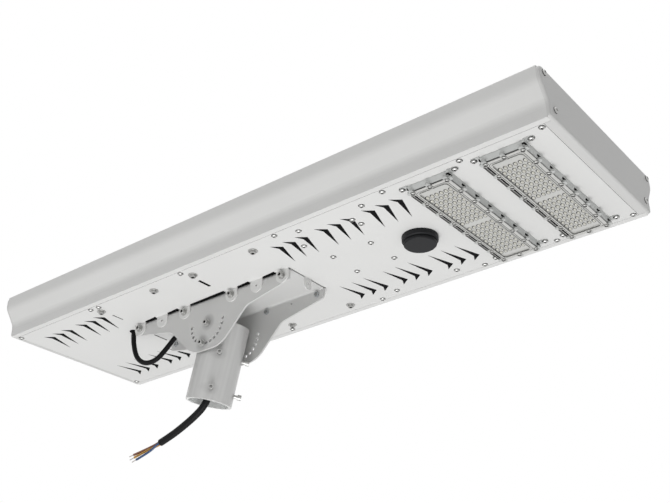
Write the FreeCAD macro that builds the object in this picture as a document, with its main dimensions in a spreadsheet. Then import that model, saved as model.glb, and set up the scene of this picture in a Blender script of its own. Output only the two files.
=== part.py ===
"""Head of an all-in-one LED street light, with its tilting bracket and pole socket.

The head is a flat metal box with a solar panel as its lid. It hangs on a folded bracket,
which tilts on a tube that slips over a pole. The origin is the crossing of the tilt axis
and the tube's own axis. X runs to the lamp end, Y across the head and Z up. Millimetres.
"""

import FreeCAD
import Part
import math
import os
import Sketcher
from FreeCAD import Placement, Rotation, Vector

doc = FreeCAD.newDocument("StreetLightHead")
sheet = doc.addObject("Spreadsheet::Sheet", "Sizes")


class Size:
    """A number that also carries how it is worked out from the cells of the sheet."""

    def __init__(self, value, text):
        self.value = value
        self.text = text

    @staticmethod
    def of(other):
        return other if isinstance(other, Size) else Size(float(other), repr(float(other)))

    def __add__(self, other):
        other = Size.of(other)
        return Size(self.value + other.value, f"({self.text} + {other.text})")

    def __sub__(self, other):
        other = Size.of(other)
        return Size(self.value - other.value, f"({self.text} - {other.text})")

    def __mul__(self, other):
        other = Size.of(other)
        return Size(self.value * other.value, f"({self.text} * {other.text})")

    def __truediv__(self, other):
        other = Size.of(other)
        return Size(self.value / other.value, f"({self.text} / {other.text})")

    def __radd__(self, other):
        return Size.of(other) + self

    def __rsub__(self, other):
        return Size.of(other) - self

    def __rmul__(self, other):
        return Size.of(other) * self

    def __neg__(self):
        return Size(-self.value, f"(-1 * {self.text})")

    def __float__(self):
        return self.value


rows_used = [0]


def size(name, value, meaning):
    """Write one driving dimension into the sheet and give it back as a Size."""
    rows_used[0] += 1
    row = rows_used[0]
    sheet.set(f"A{row}", meaning)
    sheet.set(f"B{row}", str(value))
    sheet.setAlias(f"B{row}", name)
    return Size(float(value), f"Sizes.{name}")


# The head as a whole
length = size("length", 1000, "overall length of the head")
rear_reach = size("rear_reach", 360, "tilt axis to the bracket end of the head")
drop = size("drop", 41, "tilt axis below the head's bottom face")
half_low = size("half_low", 142.5, "half the width of the bottom")
flare = size("flare", 16, "how far each rail widens towards the panel")
head_height = size("head_height", 66, "bottom face to panel face")
ogee_low = size("ogee_low", 20, "height where a rail starts to widen")
ogee_high = size("ogee_high", 45, "height where a rail has widened")
ogee_bend = size("ogee_bend", 20, "outer bend radius of a rail's slope")
rail_wall = size("rail_wall", 2.5, "wall of the extruded rails")
cap_depth = size("cap_depth", 5, "thickness of an end cap")
cap_round = size("cap_round", 3.5, "rounding round an end cap's outer face")
lip = size("lip", 9, "width of a rail's bottom lip")
strip_front = size("strip_front", 14, "depth of the lamp end cap's bottom strip")
strip_rear = size("strip_rear", 9, "depth of the bracket end cap's bottom strip")
ledge = size("ledge", 13, "width of the ledge that the bottom plate lies on")
ledge_wall = size("ledge_wall", 2, "thickness of that ledge")
plate = size("plate", 2, "thickness of the bottom plate")
seam = size("seam", 0.5, "gap round the bottom plate")
fit = size("fit", 0.3, "general clearance between neighbouring pieces")

# Solar panel
panel_lip = size("panel_lip", 18, "width of a rail's top lip beside the panel")
panel_seat = size("panel_seat", 10, "width of the ledge under the panel")
glass = size("glass", 3.2, "panel glass")
cell_film = size("cell_film", 0.6, "solar cells between their films")
backing = size("backing", 0.7, "panel back sheet")

# Screws
screw_row = size("screw_row", 5.5, "perimeter screws in from the plate's edge")
head_radius = size("head_radius", 3.8, "radius of a small pan head")
head_rise = size("head_rise", 2.2, "height of a small pan head")
shank = size("shank", 1.7, "radius of a small screw's shank")
hole_gap = size("hole_gap", 0.3, "radial clearance of a small screw's hole")
port = size("port", 4.5, "radius of a rail's screw port")
bolt_shank = size("bolt_shank", 2.45, "radius of the larger bolts")
bolt_hole = size("bolt_hole", 2.75, "radius of the larger bolt holes")
bolt_head = size("bolt_head", 4.25, "radius of a larger bolt's head")
bolt_head_rise = size("bolt_head_rise", 5, "height of a larger bolt's head")
washer_radius = size("washer_radius", 6, "radius of the washers under larger bolts")
washer_rise = size("washer_rise", 1.2, "thickness of those washers")
bolt_in = size("bolt_in", 28.5, "beam bolts in from the edge of the bottom")

# Vents
vent_pitch = size("vent_pitch", 22.2, "one vent to the next in a group")
vent_group = size("vent_group", 79.5, "one group of vents to the next")
vent_rear = size("vent_rear", 58, "bracket end to the first vent's corner")
vent_mid = size("vent_mid", 442.4, "lamp end to the first middle vent's corner")
vent_in = size("vent_in", 46.3, "vent corners in from the edge of the bottom")
vent_long = size("vent_long", 43, "reach of a vent's long arm towards the middle")
vent_lean = size("vent_lean", 13.8, "how far both arms lean back")
vent_short = size("vent_short", 10.2, "reach of a vent's short arm")
vent_width = size("vent_width", 6.4, "width of a vent at its corner")

# Bracket
bracket_half = size("bracket_half", 163, "half the length of the bracket")
cheek_out = size("cheek_out", 41.3, "middle to a cheek's outer face")
sheet_metal = size("sheet_metal", 3, "sheet of the bracket")
bend = size("bend", 3, "inside bend radius of the bracket")
arm_tip = size("arm_tip", 17.6, "depth of an arm at its tip, below the bottom face")
arm_root = size("arm_root", 33.8, "depth of an arm where it meets the lobe")
lobe_corner = size("lobe_corner", 80, "tilt axis to the corner of arm and lobe")
lobe_bottom = size("lobe_bottom", 43.6, "tilt axis to the bottom of the lobe")
lobe_flat = size("lobe_flat", 29.2, "tilt axis to the lobe's lower corners")
lobe_round = size("lobe_round", 43, "rounding of the lobe's lower corners")
arm_round = size("arm_round", 20, "inside rounding between arm and lobe")
index_radius = size("index_radius", 32.2, "tilt axis to the ring of index holes")
index_step = size("index_step", 15, "degrees from one index hole to the next")
index_count = size("index_count", 13, "number of index holes")
tab_near = size("tab_near", 50, "tilt axis to the inner tabs")
tab_end = size("tab_end", 12, "bracket's end to the middle of an outer tab")
tab_radius = size("tab_radius", 11.8, "half the width of a tab, and its rounding")
tab_depth = size("tab_depth", 20, "how far a tab reaches down")
tab_hole = size("tab_hole", 9, "bottom face to a tab's hole")

# Pole socket
tilt = size("tilt", 15, "degrees that the socket leans towards the bracket end")
tube_radius = size("tube_radius", 35.5, "outer radius of the socket tube")
tube_wall = size("tube_wall", 4, "wall of the socket tube")
tube_top = size("tube_top", 9, "tilt axis to the top of the tube")
tube_low = size("tube_low", 115, "tilt axis to the mouth of the tube")
tube_edge = size("tube_edge", 0.8, "edge break at the tube's ends")
clamp_first = size("clamp_first", 42, "tilt axis to the upper clamp screws")
clamp_pitch = size("clamp_pitch", 54.5, "upper to lower clamp screws")
clamp_angle = size("clamp_angle", 45, "degrees of the clamp screws off the leaning side")
clamp_shank = size("clamp_shank", 2.9, "radius of a clamp screw")
clamp_proud = size("clamp_proud", 5, "bare thread between the tube and a screw's head")

# Lamp modules
module_first = size("module_first", 184.5, "lamp end to the middle of the first module")
module_pitch = size("module_pitch", 106, "first module to the second")
module_width = size("module_width", 62, "width of a module's housing at its flange")
module_in = size("module_in", 23, "edge of the bottom to a module's short side")
module_depth = size("module_depth", 8, "how far the housing stands out of the plate")
module_taper = size("module_taper", 2.5, "how much each side leans in towards the lens")
module_body = size("module_body", 14, "how far the housing reaches into the head")
module_tab = size("module_tab", 9, "reach of the corner tabs past the housing")
module_screw = size("module_screw", 39.3, "middle of a module to its tab screws")
module_screw_in = size("module_screw_in", 2.1, "tab screws in from a module's short side")
gasket = size("gasket", 0.6, "lens gasket")
lens_flange = size("lens_flange", 2, "thickness of the lens flange")
lens_dome = size("lens_dome", 1.6, "how far the lens window stands out")
lens_margin = size("lens_margin", 7, "flange left round the lens window")
led_pitch_x = size("led_pitch_x", 6.9, "one column of lamps to the next")
led_in = size("led_in", 26.5, "end of a module to its last row of lamps")
led_side = size("led_side", 2.8, "side of one lamp")
led_columns = 6
led_rows = 9
lens_screw_in = size("lens_screw_in", 5.4, "end of a module to its last lens screw")
lens_screw_count = 8

# Motion sensor
sensor_place = size("sensor_place", 275.5, "lamp end to the sensor")
sensor_base_radius = size("sensor_base_radius", 25.5, "radius of the sensor's base")
sensor_base_rise = size("sensor_base_rise", 8.5, "height of the sensor's base")
sensor_cap_radius = size("sensor_cap_radius", 23, "radius of the sensor's cap")
sensor_cap_rise = size("sensor_cap_rise", 5.5, "height of the sensor's cap")

# Cable
cable = size("cable", 8.5, "diameter of the supply cable")
core = size("core", 2.6, "diameter of one insulated core")
strand = size("strand", 1.5, "diameter of a core's bare end")
cable_gap = size("cable_gap", 19, "bracket's end to the cable where it leaves the plate")
cable_y = size("cable_y", -29.5, "where the cable leaves the bottom plate, across the head")

# Rows of screws
rear_screws = [
    size("rear_screw_1", 12.1, "bracket end to perimeter screw 1"),
    size("rear_screw_2", 186.8, "bracket end to perimeter screw 2"),
]
middle_screw = size("middle_screw", 26.8, "tilt axis to perimeter screw 3")
front_screws = [
    size("front_screw_4", 430.6, "lamp end to perimeter screw 4"),
    size("front_screw_5", 247.7, "lamp end to perimeter screw 5"),
    size("front_screw_6", 131.9, "lamp end to perimeter screw 6"),
    size("front_screw_7", 19.5, "lamp end to perimeter screw 7"),
]
beam_rear = size("beam_rear", 1, "bracket's rear end to the first beam")
beam_front = size("beam_front", 5.5, "last beam to the bracket's front end")
beam_second = size("beam_second", 44.5, "second beam to the tilt axis")
beam_third = size("beam_third", 38.5, "tilt axis to the third beam")
post_in = size("post_in", 396, "lamp end to the first panel post")
post_step = size("post_step", 107, "first panel post to the second")
post_row_in = size("post_row_in", 25.5, "panel posts in from the edge of the bottom")
driver_in = size("driver_in", 372, "lamp end to the middle of the mains driver")
driver_half = size("driver_half", 33.3, "driver screws fore and aft of its middle")
driver_row = size("driver_row", 28.4, "driver screws to either side of the middle")
controller_in = size("controller_in", 417.3, "lamp end to the controller's left screw")
controller_step = size("controller_step", 100, "left to right controller screws")
controller_side = size("controller_side", 63, "controller screws in from the edge of the bottom")

# Cross beams, posts and nuts
beam_half = size("beam_half", 9.5, "half the width of a cross beam")
beam_rise = size("beam_rise", 12, "height of a cross beam")
beam_in = size("beam_in", 23, "ends of the cross beams in from the edge of the bottom")
beam_sheet = size("beam_sheet", 2, "sheet of the cross beams")
post_radius = size("post_radius", 3.4, "radius of a panel post")
nut_radius = size("nut_radius", 4, "radius of the nuts on larger bolts")
nut_rise = size("nut_rise", 3, "thickness of those nuts")

# Depths of a lamp module
lens_head = size("lens_head", 2, "radius of a lens screw's head")
lens_head_rise = size("lens_head_rise", 1, "height of a lens screw's head")
flange = size("flange", 1.5, "thickness of a module's flange")
board = size("board", 1.5, "thickness of a lamp board")
lamp_rise = size("lamp_rise", 0.7, "height of one lamp")
recess = size("recess", 3.5, "depth of the recess for the board")
led_gap = size("led_gap", 18, "between the two fields of lamps")

# Boxes inside the head
flat = size("flat", 1.5, "mounting plates of the hidden boxes")
driver_long = size("driver_long", 42, "half the length of the mains driver")
driver_rise = size("driver_rise", 34, "height of the mains driver")
controller_rise = size("controller_rise", 28, "height of the charge controller")
pack_half_x = size("pack_half_x", 148, "half the length of the battery pack")
pack_in = size("pack_in", 44.5, "battery pack in from the edge of the bottom")
pack_rise = size("pack_rise", 38, "height of the battery pack")
junction_rise = size("junction_rise", 24, "height of the junction box")
lead = size("lead", 5, "diameter of the leads inside the head")
clamp_head = size("clamp_head", 6, "height of a clamp screw's head")
doc.recompute()

# Levels and edges that follow from those sizes
bottom = drop
top = drop + head_height
half_top = half_low + flare
rear_end = -rear_reach
front_end = length - rear_reach
rail_start = rear_end + cap_depth
rail_end = front_end - cap_depth
plate_start = rear_end + strip_rear + seam
plate_end = front_end - strip_front - seam
plate_half = half_low - lip - seam
plate_in = bottom + plate
laminate = glass + cell_film + backing
cheek_in = cheek_out - sheet_metal
tab_out = cheek_out + plate
tab_far = bracket_half - tab_end
tab_mid = (tab_near + tab_far) / 2
row_y = plate_half - screw_row + seam

# Places along the head, from the end that each piece belongs to
perimeter = [rear_end + place for place in rear_screws]
perimeter += [middle_screw]
perimeter += [front_end - place for place in front_screws]
beam_x = [-bracket_half - beam_rear, -beam_second, beam_third, bracket_half - beam_front]
post_x = front_end - post_in
driver_x = front_end - driver_in
controller_x = front_end - controller_in
sensor_x = front_end - sensor_place
module_x = [front_end - module_first + step * module_pitch for step in (0, 1)]
cable_x = -bracket_half - cable_gap

# Places across the head, from the edge of the bottom
bolt_row = half_low - bolt_in
vent_corner = half_low - vent_in
post_row = half_low - post_row_in
controller_y = -half_low + controller_side
beam_reach = half_low - beam_in
pack_half_y = half_low - pack_in
module_length = (half_low - module_in) * 2
module_row = module_length / 2 - module_screw_in
led_pitch_y = ((module_length - led_gap) / 2 - led_in) / (led_rows - 1)
lens_screw_pitch = (module_length - 2 * lens_screw_in) / (lens_screw_count - 1)


def plane_of(body, role):
    """One of the body's own origin planes."""
    for feature in body.Origin.OriginFeatures:
        if feature.Role == role:
            return feature
    raise ValueError(role)


def new_body(name):
    body = doc.addObject("PartDesign::Body", name)
    body.Label = name
    return body


def tie(sketch, geometry, point, x, y):
    """Hold a sketch point at x and y, both bound to the sheet."""
    for kind, where in (("DistanceX", Size.of(x)), ("DistanceY", Size.of(y))):
        rule = Sketcher.Constraint(kind, -1, 1, geometry, point, where.value)
        index = sketch.addConstraint(rule)
        sketch.setExpression(f"Constraints[{index}]", where.text)


def polygon(*points):
    """A closed outline of straight lines."""

    def draw(sketch):
        flat = [Vector(float(x), float(y), 0) for x, y in points]
        ends = flat[1:] + flat[:1]
        lines = [sketch.addGeometry(Part.LineSegment(a, b), False) for a, b in zip(flat, ends)]
        for line, following in zip(lines, lines[1:] + lines[:1]):
            sketch.addConstraint(Sketcher.Constraint("Coincident", line, 2, following, 1))
        for line, (x, y) in zip(lines, points):
            tie(sketch, line, 1, x, y)

    return draw


def rectangle(x0, y0, x1, y1):
    return polygon((x0, y0), (x1, y0), (x1, y1), (x0, y1))


def circle(x, y, radius):
    """A circle with its centre and radius bound to the sheet."""

    def draw(sketch):
        radius_size = Size.of(radius)
        middle = Vector(float(x), float(y), 0)
        shape = Part.Circle(middle, Vector(0, 0, 1), radius_size.value)
        index = sketch.addGeometry(shape, False)
        tie(sketch, index, 3, x, y)
        rule = sketch.addConstraint(Sketcher.Constraint("Radius", index, radius_size.value))
        sketch.setExpression(f"Constraints[{rule}]", radius_size.text)

    return draw


def tongue(x, base, tip, radius):
    """A strip that starts at base, ends at tip and is rounded over its full width there."""
    middle = tip + radius

    def draw(sketch):
        corners = ((x + radius, base), (x - radius, base))
        low = ((x - radius, middle), (x + radius, middle))
        points = [Vector(float(a), float(b), 0) for a, b in corners + low]
        edge = sketch.addGeometry(Part.LineSegment(points[0], points[1]), False)
        left = sketch.addGeometry(Part.LineSegment(points[1], points[2]), False)
        right = sketch.addGeometry(Part.LineSegment(points[3], points[0]), False)
        centre = Vector(float(x), float(middle), 0)
        ring = Part.Circle(centre, Vector(0, 0, 1), float(radius))
        arc = sketch.addGeometry(Part.ArcOfCircle(ring, math.pi, 2 * math.pi), False)
        sketch.addConstraint(Sketcher.Constraint("Coincident", edge, 2, left, 1))
        sketch.addConstraint(Sketcher.Constraint("Coincident", left, 2, arc, 1))
        sketch.addConstraint(Sketcher.Constraint("Coincident", arc, 2, right, 1))
        sketch.addConstraint(Sketcher.Constraint("Coincident", right, 2, edge, 1))
        tie(sketch, edge, 1, *corners[0])
        tie(sketch, edge, 2, *corners[1])
        tie(sketch, arc, 3, x, middle)
        tie(sketch, left, 2, *low[0])

    return draw


def sketch_on(body, plane, offset, outlines):
    """A sketch on one of the body's planes, moved along that plane's normal."""
    sketch = body.newObject("Sketcher::SketchObject", body.Name + "_outline")
    sketch.AttachmentSupport = [(plane_of(body, plane + "_Plane"), "")]
    sketch.MapMode = "FlatFace"
    sketch.setExpression("AttachmentOffset.Base.z", Size.of(offset).text)
    for draw in outlines:
        draw(sketch)
    doc.recompute()
    return sketch


def volume(body):
    return 0.0 if body.Shape.isNull() else body.Shape.Volume


def pad(body, plane, low, high, *outlines):
    """Material between two levels along X for YZ, along Y for XZ and along Z for XY."""
    low, high = Size.of(low), Size.of(high)
    offset = -high if plane == "XZ" else low
    feature = body.newObject("PartDesign::Pad", body.Name + "_pad")
    feature.Profile = sketch_on(body, plane, offset, outlines)
    feature.setExpression("Length", (high - low).text)
    before = volume(body)
    doc.recompute()
    if volume(body) <= before + 1e-6:
        raise ValueError(f"a pad added nothing to {body.Name}")
    return feature


def cut(body, plane, low, high, *outlines):
    """Take away what lies between two levels inside the outlines."""
    low, high = Size.of(low), Size.of(high)
    offset = -low if plane == "XZ" else high
    feature = body.newObject("PartDesign::Pocket", body.Name + "_pocket")
    feature.Profile = sketch_on(body, plane, offset, outlines)
    feature.setExpression("Length", (high - low).text)
    before = volume(body)
    doc.recompute()
    if volume(body) >= before - 1e-6:
        raise ValueError(f"a pocket cut nothing from {body.Name}")
    return feature


def edges_through(shape, points):
    """Names of the edges that pass through each of the given points."""
    names = []
    for point in points:
        spot = Part.Vertex(Vector(*[float(v) for v in point]))
        for number, edge in enumerate(shape.Edges, 1):
            if edge.distToShape(spot)[0] < 0.02 and f"Edge{number}" not in names:
                names.append(f"Edge{number}")
    if not names:
        raise ValueError("no edge passes through those points")
    return names


def fillet(body, points, radius):
    """Round the edges that pass through the points."""
    base = body.Tip
    names = edges_through(base.Shape, points)
    feature = body.newObject("PartDesign::Fillet", body.Name + "_fillet")
    feature.Base = (base, names)
    feature.setExpression("Radius", Size.of(radius).text)
    doc.recompute()
    return feature


def turned(name, outline):
    """A body turned about Z: the outline gives radius and height."""
    body = new_body(name)
    feature = body.newObject("PartDesign::Revolution", name + "_turn")
    feature.Profile = sketch_on(body, "XZ", 0, [polygon(*outline)])
    feature.ReferenceAxis = (plane_of(body, "Z_Axis"), [""])
    feature.Angle = 360
    doc.recompute()
    return body


def mirrored(name, source):
    """The same piece on the other side of the head's middle plane."""
    copy = doc.addObject("Part::Mirroring", name)
    copy.Label = name
    copy.Source = source
    copy.Base = Vector(0, 0, 0)
    copy.Normal = Vector(0, 1, 0)
    doc.recompute()
    return copy


def block(name, x0, y0, z0, x1, y1, z1):
    """A plain box between two corners."""
    box = doc.addObject("Part::Box", name)
    box.Label = name
    low = [Size.of(v) for v in (x0, y0, z0)]
    high = [Size.of(v) for v in (x1, y1, z1)]
    for side, first, last in zip(("Length", "Width", "Height"), low, high):
        box.setExpression(side, (last - first).text)
    for axis, first in zip("xyz", low):
        box.setExpression(f"Placement.Base.{axis}", first.text)
    doc.recompute()
    return box


def group(name, source, placements):
    """Copies of one piece, as separate solids in one sub-part."""
    feature = doc.addObject("Part::Feature", name)
    feature.Label = name
    copies = []
    for placement in placements:
        solid = source.Shape.copy()
        solid.Placement = placement.multiply(solid.Placement)
        copies.append(solid)
    feature.Shape = Part.Compound(copies)
    return feature


def made(name, shape):
    """A sub-part whose shape is worked out here from the sheet's sizes."""
    feature = doc.addObject("Part::Feature", name)
    feature.Label = name
    feature.Shape = shape
    return feature


def at(x, y, z, axis=None, turn=0.0):
    """A place for a copy, turned about an axis first."""
    spin = Rotation(axis, turn) if axis else Rotation()
    return Placement(Vector(float(x), float(y), float(z)), spin)


subparts = []
AXIS_X = Vector(1, 0, 0)
AXIS_Y = Vector(0, 1, 0)

# Places of screws, bolts and vents
perimeter_places = [(x, side * row_y) for x in perimeter for side in (-1, 1)]
beam_places = [(x, side * bolt_row) for x in beam_x for side in (-1, 1)]
post_places = [(post_x + step * post_step, side * post_row) for step in (0, 1) for side in (-1, 1)]
driver_places = [
    (driver_x + fore * driver_half, side * driver_row) for fore in (-1, 1) for side in (-1, 1)
]
controller_places = [
    (controller_x, controller_y),
    (controller_x + controller_step, controller_y),
    (controller_x + controller_step - 3, controller_y - 16),
]
small_places = post_places + driver_places + controller_places
module_places = [
    (x + fore * module_screw, side * module_row) for x in module_x for fore in (-1, 1) for side in (-1, 1)
]
vent_places = [rear_end + vent_rear + turn * vent_pitch for turn in range(3)]
vent_places += [rear_end + vent_rear + vent_group + turn * vent_pitch for turn in range(3)]
for band in range(3):
    for turn in range(3):
        vent_places.append(front_end - vent_mid + band * vent_group + turn * vent_pitch)


# Extruded side rails
def rail(name):
    """The near rail: an open section with a bottom lip, a plate ledge and a panel seat."""
    body = new_body(name)
    inner = -half_low + lip + ledge
    lip_end = -half_top + panel_lip
    seat = top - laminate
    pad(
        body, "YZ", rail_start, rail_end,
        polygon(
            (-half_low, bottom),
            (-half_low, bottom + ogee_low),
            (-half_top, bottom + ogee_high),
            (-half_top, top),
            (lip_end, top),
            (lip_end, seat),
            (lip_end + panel_seat, seat),
            (lip_end + panel_seat, seat - ledge_wall),
            (lip_end - rail_wall, seat - ledge_wall),
            (lip_end - rail_wall, top - rail_wall),
            (-half_top + rail_wall, top - rail_wall),
            (-half_top + rail_wall, bottom + ogee_high + 0.7),
            (-half_low + rail_wall, bottom + ogee_low + 0.7),
            (-half_low + rail_wall, plate_in + ledge_wall),
            (inner, plate_in + ledge_wall),
            (inner, plate_in),
            (-half_low + lip, plate_in),
            (-half_low + lip, bottom),
        ),
    )
    middle = (rail_start + rail_end) / 2
    fillet(body, [(middle, -half_low, bottom + ogee_low), (middle, -half_top, bottom + ogee_high)], ogee_bend)
    fillet(body, [(middle, -half_low + rail_wall, bottom + ogee_low + 0.7)], ogee_bend + rail_wall)
    fillet(body, [(middle, -half_top + rail_wall, bottom + ogee_high + 0.7)], ogee_bend - rail_wall)
    for y, z in port_places(-1):
        pad(body, "YZ", rail_start, rail_end, circle(y, z, port))
    low_y, low_z = port_places(-1)[0]
    high_y, high_z = port_places(-1)[1]
    pad(body, "YZ", rail_start, rail_end, rectangle(-half_low + 1, low_z - 1, low_y - 3, low_z + 1))
    pad(body, "YZ", rail_start, rail_end, rectangle(high_y - 1, high_z + 3, high_y + 1, top - 1))
    cut(body, "YZ", rail_start, rail_end, *[circle(y, z, shank) for y, z in port_places(-1)])
    fillet(body, [(middle, -half_top, top)], 3)
    holes = [circle(x, -row_y, shank) for x in perimeter]
    cut(body, "XY", plate_in, plate_in + ledge_wall, *holes)
    return body


def port_places(side):
    """Centres of the two screw ports of one rail, across and up."""
    return (
        (side * (half_low - 14), bottom + 14.7),
        (side * (half_top - 11.5), top - 7.7),
    )


side_rail_near = rail("side_rail_near")
side_rail_far = mirrored("side_rail_far", side_rail_near)
subparts += [side_rail_near, side_rail_far]


# End caps
def end_cap(name, outer, inner, strip_edge):
    """A cap over the whole section, with a strip that closes the bottom."""
    body = new_body(name)
    low, high = (outer, inner) if float(outer) < float(inner) else (inner, outer)
    outline = polygon(
        (-half_low, bottom), (half_low, bottom),
        (half_low, bottom + ogee_low), (half_top, bottom + ogee_high), (half_top, top),
        (-half_top, top), (-half_top, bottom + ogee_high), (-half_low, bottom + ogee_low),
    )
    pad(body, "YZ", low, high, outline)
    middle = (low + high) / 2
    slopes = [
        (middle, side * across, bottom + height)
        for side in (-1, 1)
        for across, height in ((half_low, ogee_low), (half_top, ogee_high))
    ]
    fillet(body, slopes, ogee_bend)
    fillet(body, [(middle, side * half_top, top) for side in (-1, 1)], 8)
    fillet(body, [(middle, side * half_low, bottom) for side in (-1, 1)], 4)
    face = [
        number for number, face in enumerate(body.Tip.Shape.Faces, 1)
        if abs(face.CenterOfMass.x - float(outer)) < 0.01
    ][0]
    base = body.Tip
    round_off = body.newObject("PartDesign::Fillet", name + "_round")
    round_off.Base = (base, [f"Face{face}"])
    round_off.setExpression("Radius", cap_round.text)
    doc.recompute()
    first, last = (inner, strip_edge) if float(inner) < float(strip_edge) else (strip_edge, inner)
    lip_half = half_low - lip - seam
    pad(body, "XY", bottom, plate_in, rectangle(first, -lip_half, last, lip_half))
    holes = [circle(y, z, shank + hole_gap) for side in (-1, 1) for y, z in port_places(side)]
    cut(body, "YZ", low, high, *holes)
    return body


front_cap = end_cap("front_cap", front_end, rail_end, plate_end + seam)
rear_cap = end_cap("rear_cap", rear_end, rail_start, plate_start - seam)
subparts += [front_cap, rear_cap]


# Bottom plate
def vent(x, side):
    """One cut vent: a long and a short arm that taper away from their corner."""
    y = side * vent_corner
    return polygon(
        (x, y),
        (x - vent_lean, y - side * vent_long),
        (x - vent_width, y - side * 1),
        (x - vent_lean + 0.6, y + side * vent_short),
    )


bottom_plate = new_body("bottom_plate")
pad(bottom_plate, "XY", bottom, plate_in, rectangle(plate_start, -plate_half, plate_end, plate_half))
bracket_gap = rectangle(-bracket_half - 1.5, -tab_out + plate, bracket_half + 1.5, tab_out - plate)
opening = rectangle(-bracket_half - 1.5, -tab_out, bracket_half + 1.5, tab_out)
cut(bottom_plate, "XY", bottom, plate_in, opening)
for side in (-1, 1):
    tongues = [
        tongue(fore * place, plate_in, bottom - tab_depth, tab_radius)
        for fore in (-1, 1) for place in (tab_near, tab_mid, tab_far)
    ]
    tab_low, tab_high = (-tab_out, -cheek_out) if side < 0 else (cheek_out, tab_out)
    pad(bottom_plate, "XZ", tab_low, tab_high, *tongues)
end_tab = tongue(0, plate_in, bottom - tab_depth, tab_radius / 2 + 1)
pad(bottom_plate, "YZ", bracket_half + fit, bracket_half + 2, end_tab)
module_holes = [
    rectangle(
        x - module_width / 2 + 4, -module_length / 2 + 4,
        x + module_width / 2 - 4, module_length / 2 - 4,
    )
    for x in module_x
]
cut(bottom_plate, "XY", bottom, plate_in, *module_holes)
cut(bottom_plate, "XY", bottom, plate_in, *[vent(x, side) for x in vent_places for side in (-1, 1)])
slot_out = half_low - 47.5
slot_in = half_low - 71.5
slots = [
    rectangle(29.5, -slot_out, 34.5, -slot_in), rectangle(29.5, slot_in, 34.5, slot_out),
    rectangle(-162, 1 - slot_out, -160, -1 - slot_in), rectangle(-162, 1 + slot_in, -160, slot_out - 1),
]
cut(bottom_plate, "XY", bottom, plate_in, *slots)
screw_holes = perimeter_places + small_places + module_places
cut(bottom_plate, "XY", bottom, plate_in, *[circle(x, y, shank + hole_gap) for x, y in screw_holes])
cut(bottom_plate, "XY", bottom, plate_in, *[circle(x, y, bolt_hole) for x, y in beam_places])
cut(bottom_plate, "XY", bottom, plate_in, circle(cable_x, cable_y, cable / 2 + 1.5))
cut(bottom_plate, "XY", bottom, plate_in, circle(sensor_x, 0, 9))
tab_bolts_x = [fore * place for fore in (-1, 1) for place in (tab_near, tab_far)]
all_tabs_x = tab_bolts_x + [tab_mid, -tab_mid]
tab_holes = [circle(x, bottom - tab_hole, bolt_hole) for x in tab_bolts_x]
tab_holes += [circle(x, bottom - tab_hole, 1.9) for x in (tab_mid, -tab_mid)]
cut(bottom_plate, "XZ", -tab_out, tab_out, *tab_holes)
cut(bottom_plate, "YZ", bracket_half, bracket_half + 3, circle(0, bottom - tab_hole, 1.9))
subparts.append(bottom_plate)


# Hidden cross beams and the posts that carry the panel
beam_top = plate_in + beam_rise


def cross_beam(name):
    """A channel across the head, open side up, standing on the plate."""
    body = new_body(name)
    pad(
        body, "XZ", -beam_reach, beam_reach,
        polygon(
            (-beam_half, plate_in), (beam_half, plate_in), (beam_half, beam_top),
            (beam_half - beam_sheet, beam_top), (beam_half - beam_sheet, plate_in + beam_sheet),
            (beam_sheet - beam_half, plate_in + beam_sheet), (beam_sheet - beam_half, beam_top),
            (-beam_half, beam_top),
        ),
    )
    holes = [circle(0, side * bolt_row, bolt_hole) for side in (-1, 1)]
    cut(body, "XY", plate_in, plate_in + beam_sheet, *holes)
    return body


beam = cross_beam("beam_template")
subparts.append(group("cross_beams", beam, [at(x, 0, 0) for x in beam_x]))

post = new_body("post_template")
pad(post, "XY", plate_in, top - laminate, circle(0, 0, post_radius))
cut(post, "XY", plate_in, plate_in + 10, circle(0, 0, shank))
subparts.append(group("panel_posts", post, [at(x, y, 0) for x, y in post_places]))


# Solar panel
panel_half = half_top - panel_lip - fit
panel_start = rail_start + fit
panel_end = rail_end - fit
back_level = top - laminate
cell_level = back_level + backing
glass_level = cell_level + cell_film
subparts += [
    block("panel_backing", panel_start, -panel_half, back_level, panel_end, panel_half, cell_level),
    block("panel_cells", panel_start, -panel_half, cell_level, panel_end, panel_half, glass_level),
    block("panel_glass", panel_start, -panel_half, glass_level, panel_end, panel_half, top),
]


# Folded bracket
base_low = plate_in - sheet_metal
bracket = new_body("bracket")
cheek = (
    (bracket_half, plate_in), (-bracket_half, plate_in), (-bracket_half, bottom - arm_tip),
    (-lobe_corner, bottom - arm_root), (-lobe_flat, -lobe_bottom), (lobe_flat, -lobe_bottom),
    (lobe_corner, bottom - arm_root), (bracket_half, bottom - arm_tip),
)
pad(bracket, "XY", base_low, plate_in, rectangle(-bracket_half, -cheek_out, bracket_half, cheek_out))
pad(bracket, "XZ", -cheek_out, -cheek_in, polygon(*cheek))
pad(bracket, "XZ", cheek_in, cheek_out, polygon(*cheek))
fillet(bracket, [(0, side * cheek_in, base_low) for side in (-1, 1)], bend)
fillet(bracket, [(0, side * cheek_out, plate_in) for side in (-1, 1)], bend + sheet_metal)
cheek_middle = (cheek_out + cheek_in) / 2
lobe_turns = [
    (fore * lobe_flat, side * cheek_middle, -lobe_bottom) for fore in (-1, 1) for side in (-1, 1)
]
arm_turns = [
    (fore * lobe_corner, side * cheek_middle, bottom - arm_root)
    for fore in (-1, 1) for side in (-1, 1)
]
arm_ends = [
    (fore * bracket_half, side * cheek_middle, bottom - arm_tip)
    for fore in (-1, 1) for side in (-1, 1)
]
fillet(bracket, lobe_turns, lobe_round)
fillet(bracket, arm_turns, arm_round)
fillet(bracket, arm_ends, 4)
arm_holes = [circle(x, bottom - tab_hole, bolt_hole) for x in tab_bolts_x]
arm_holes += [circle(x, bottom - tab_hole, 1.9) for x in (tab_mid, -tab_mid)]
arm_holes.append(circle(0, 0, bolt_shank + 0.1))
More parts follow.
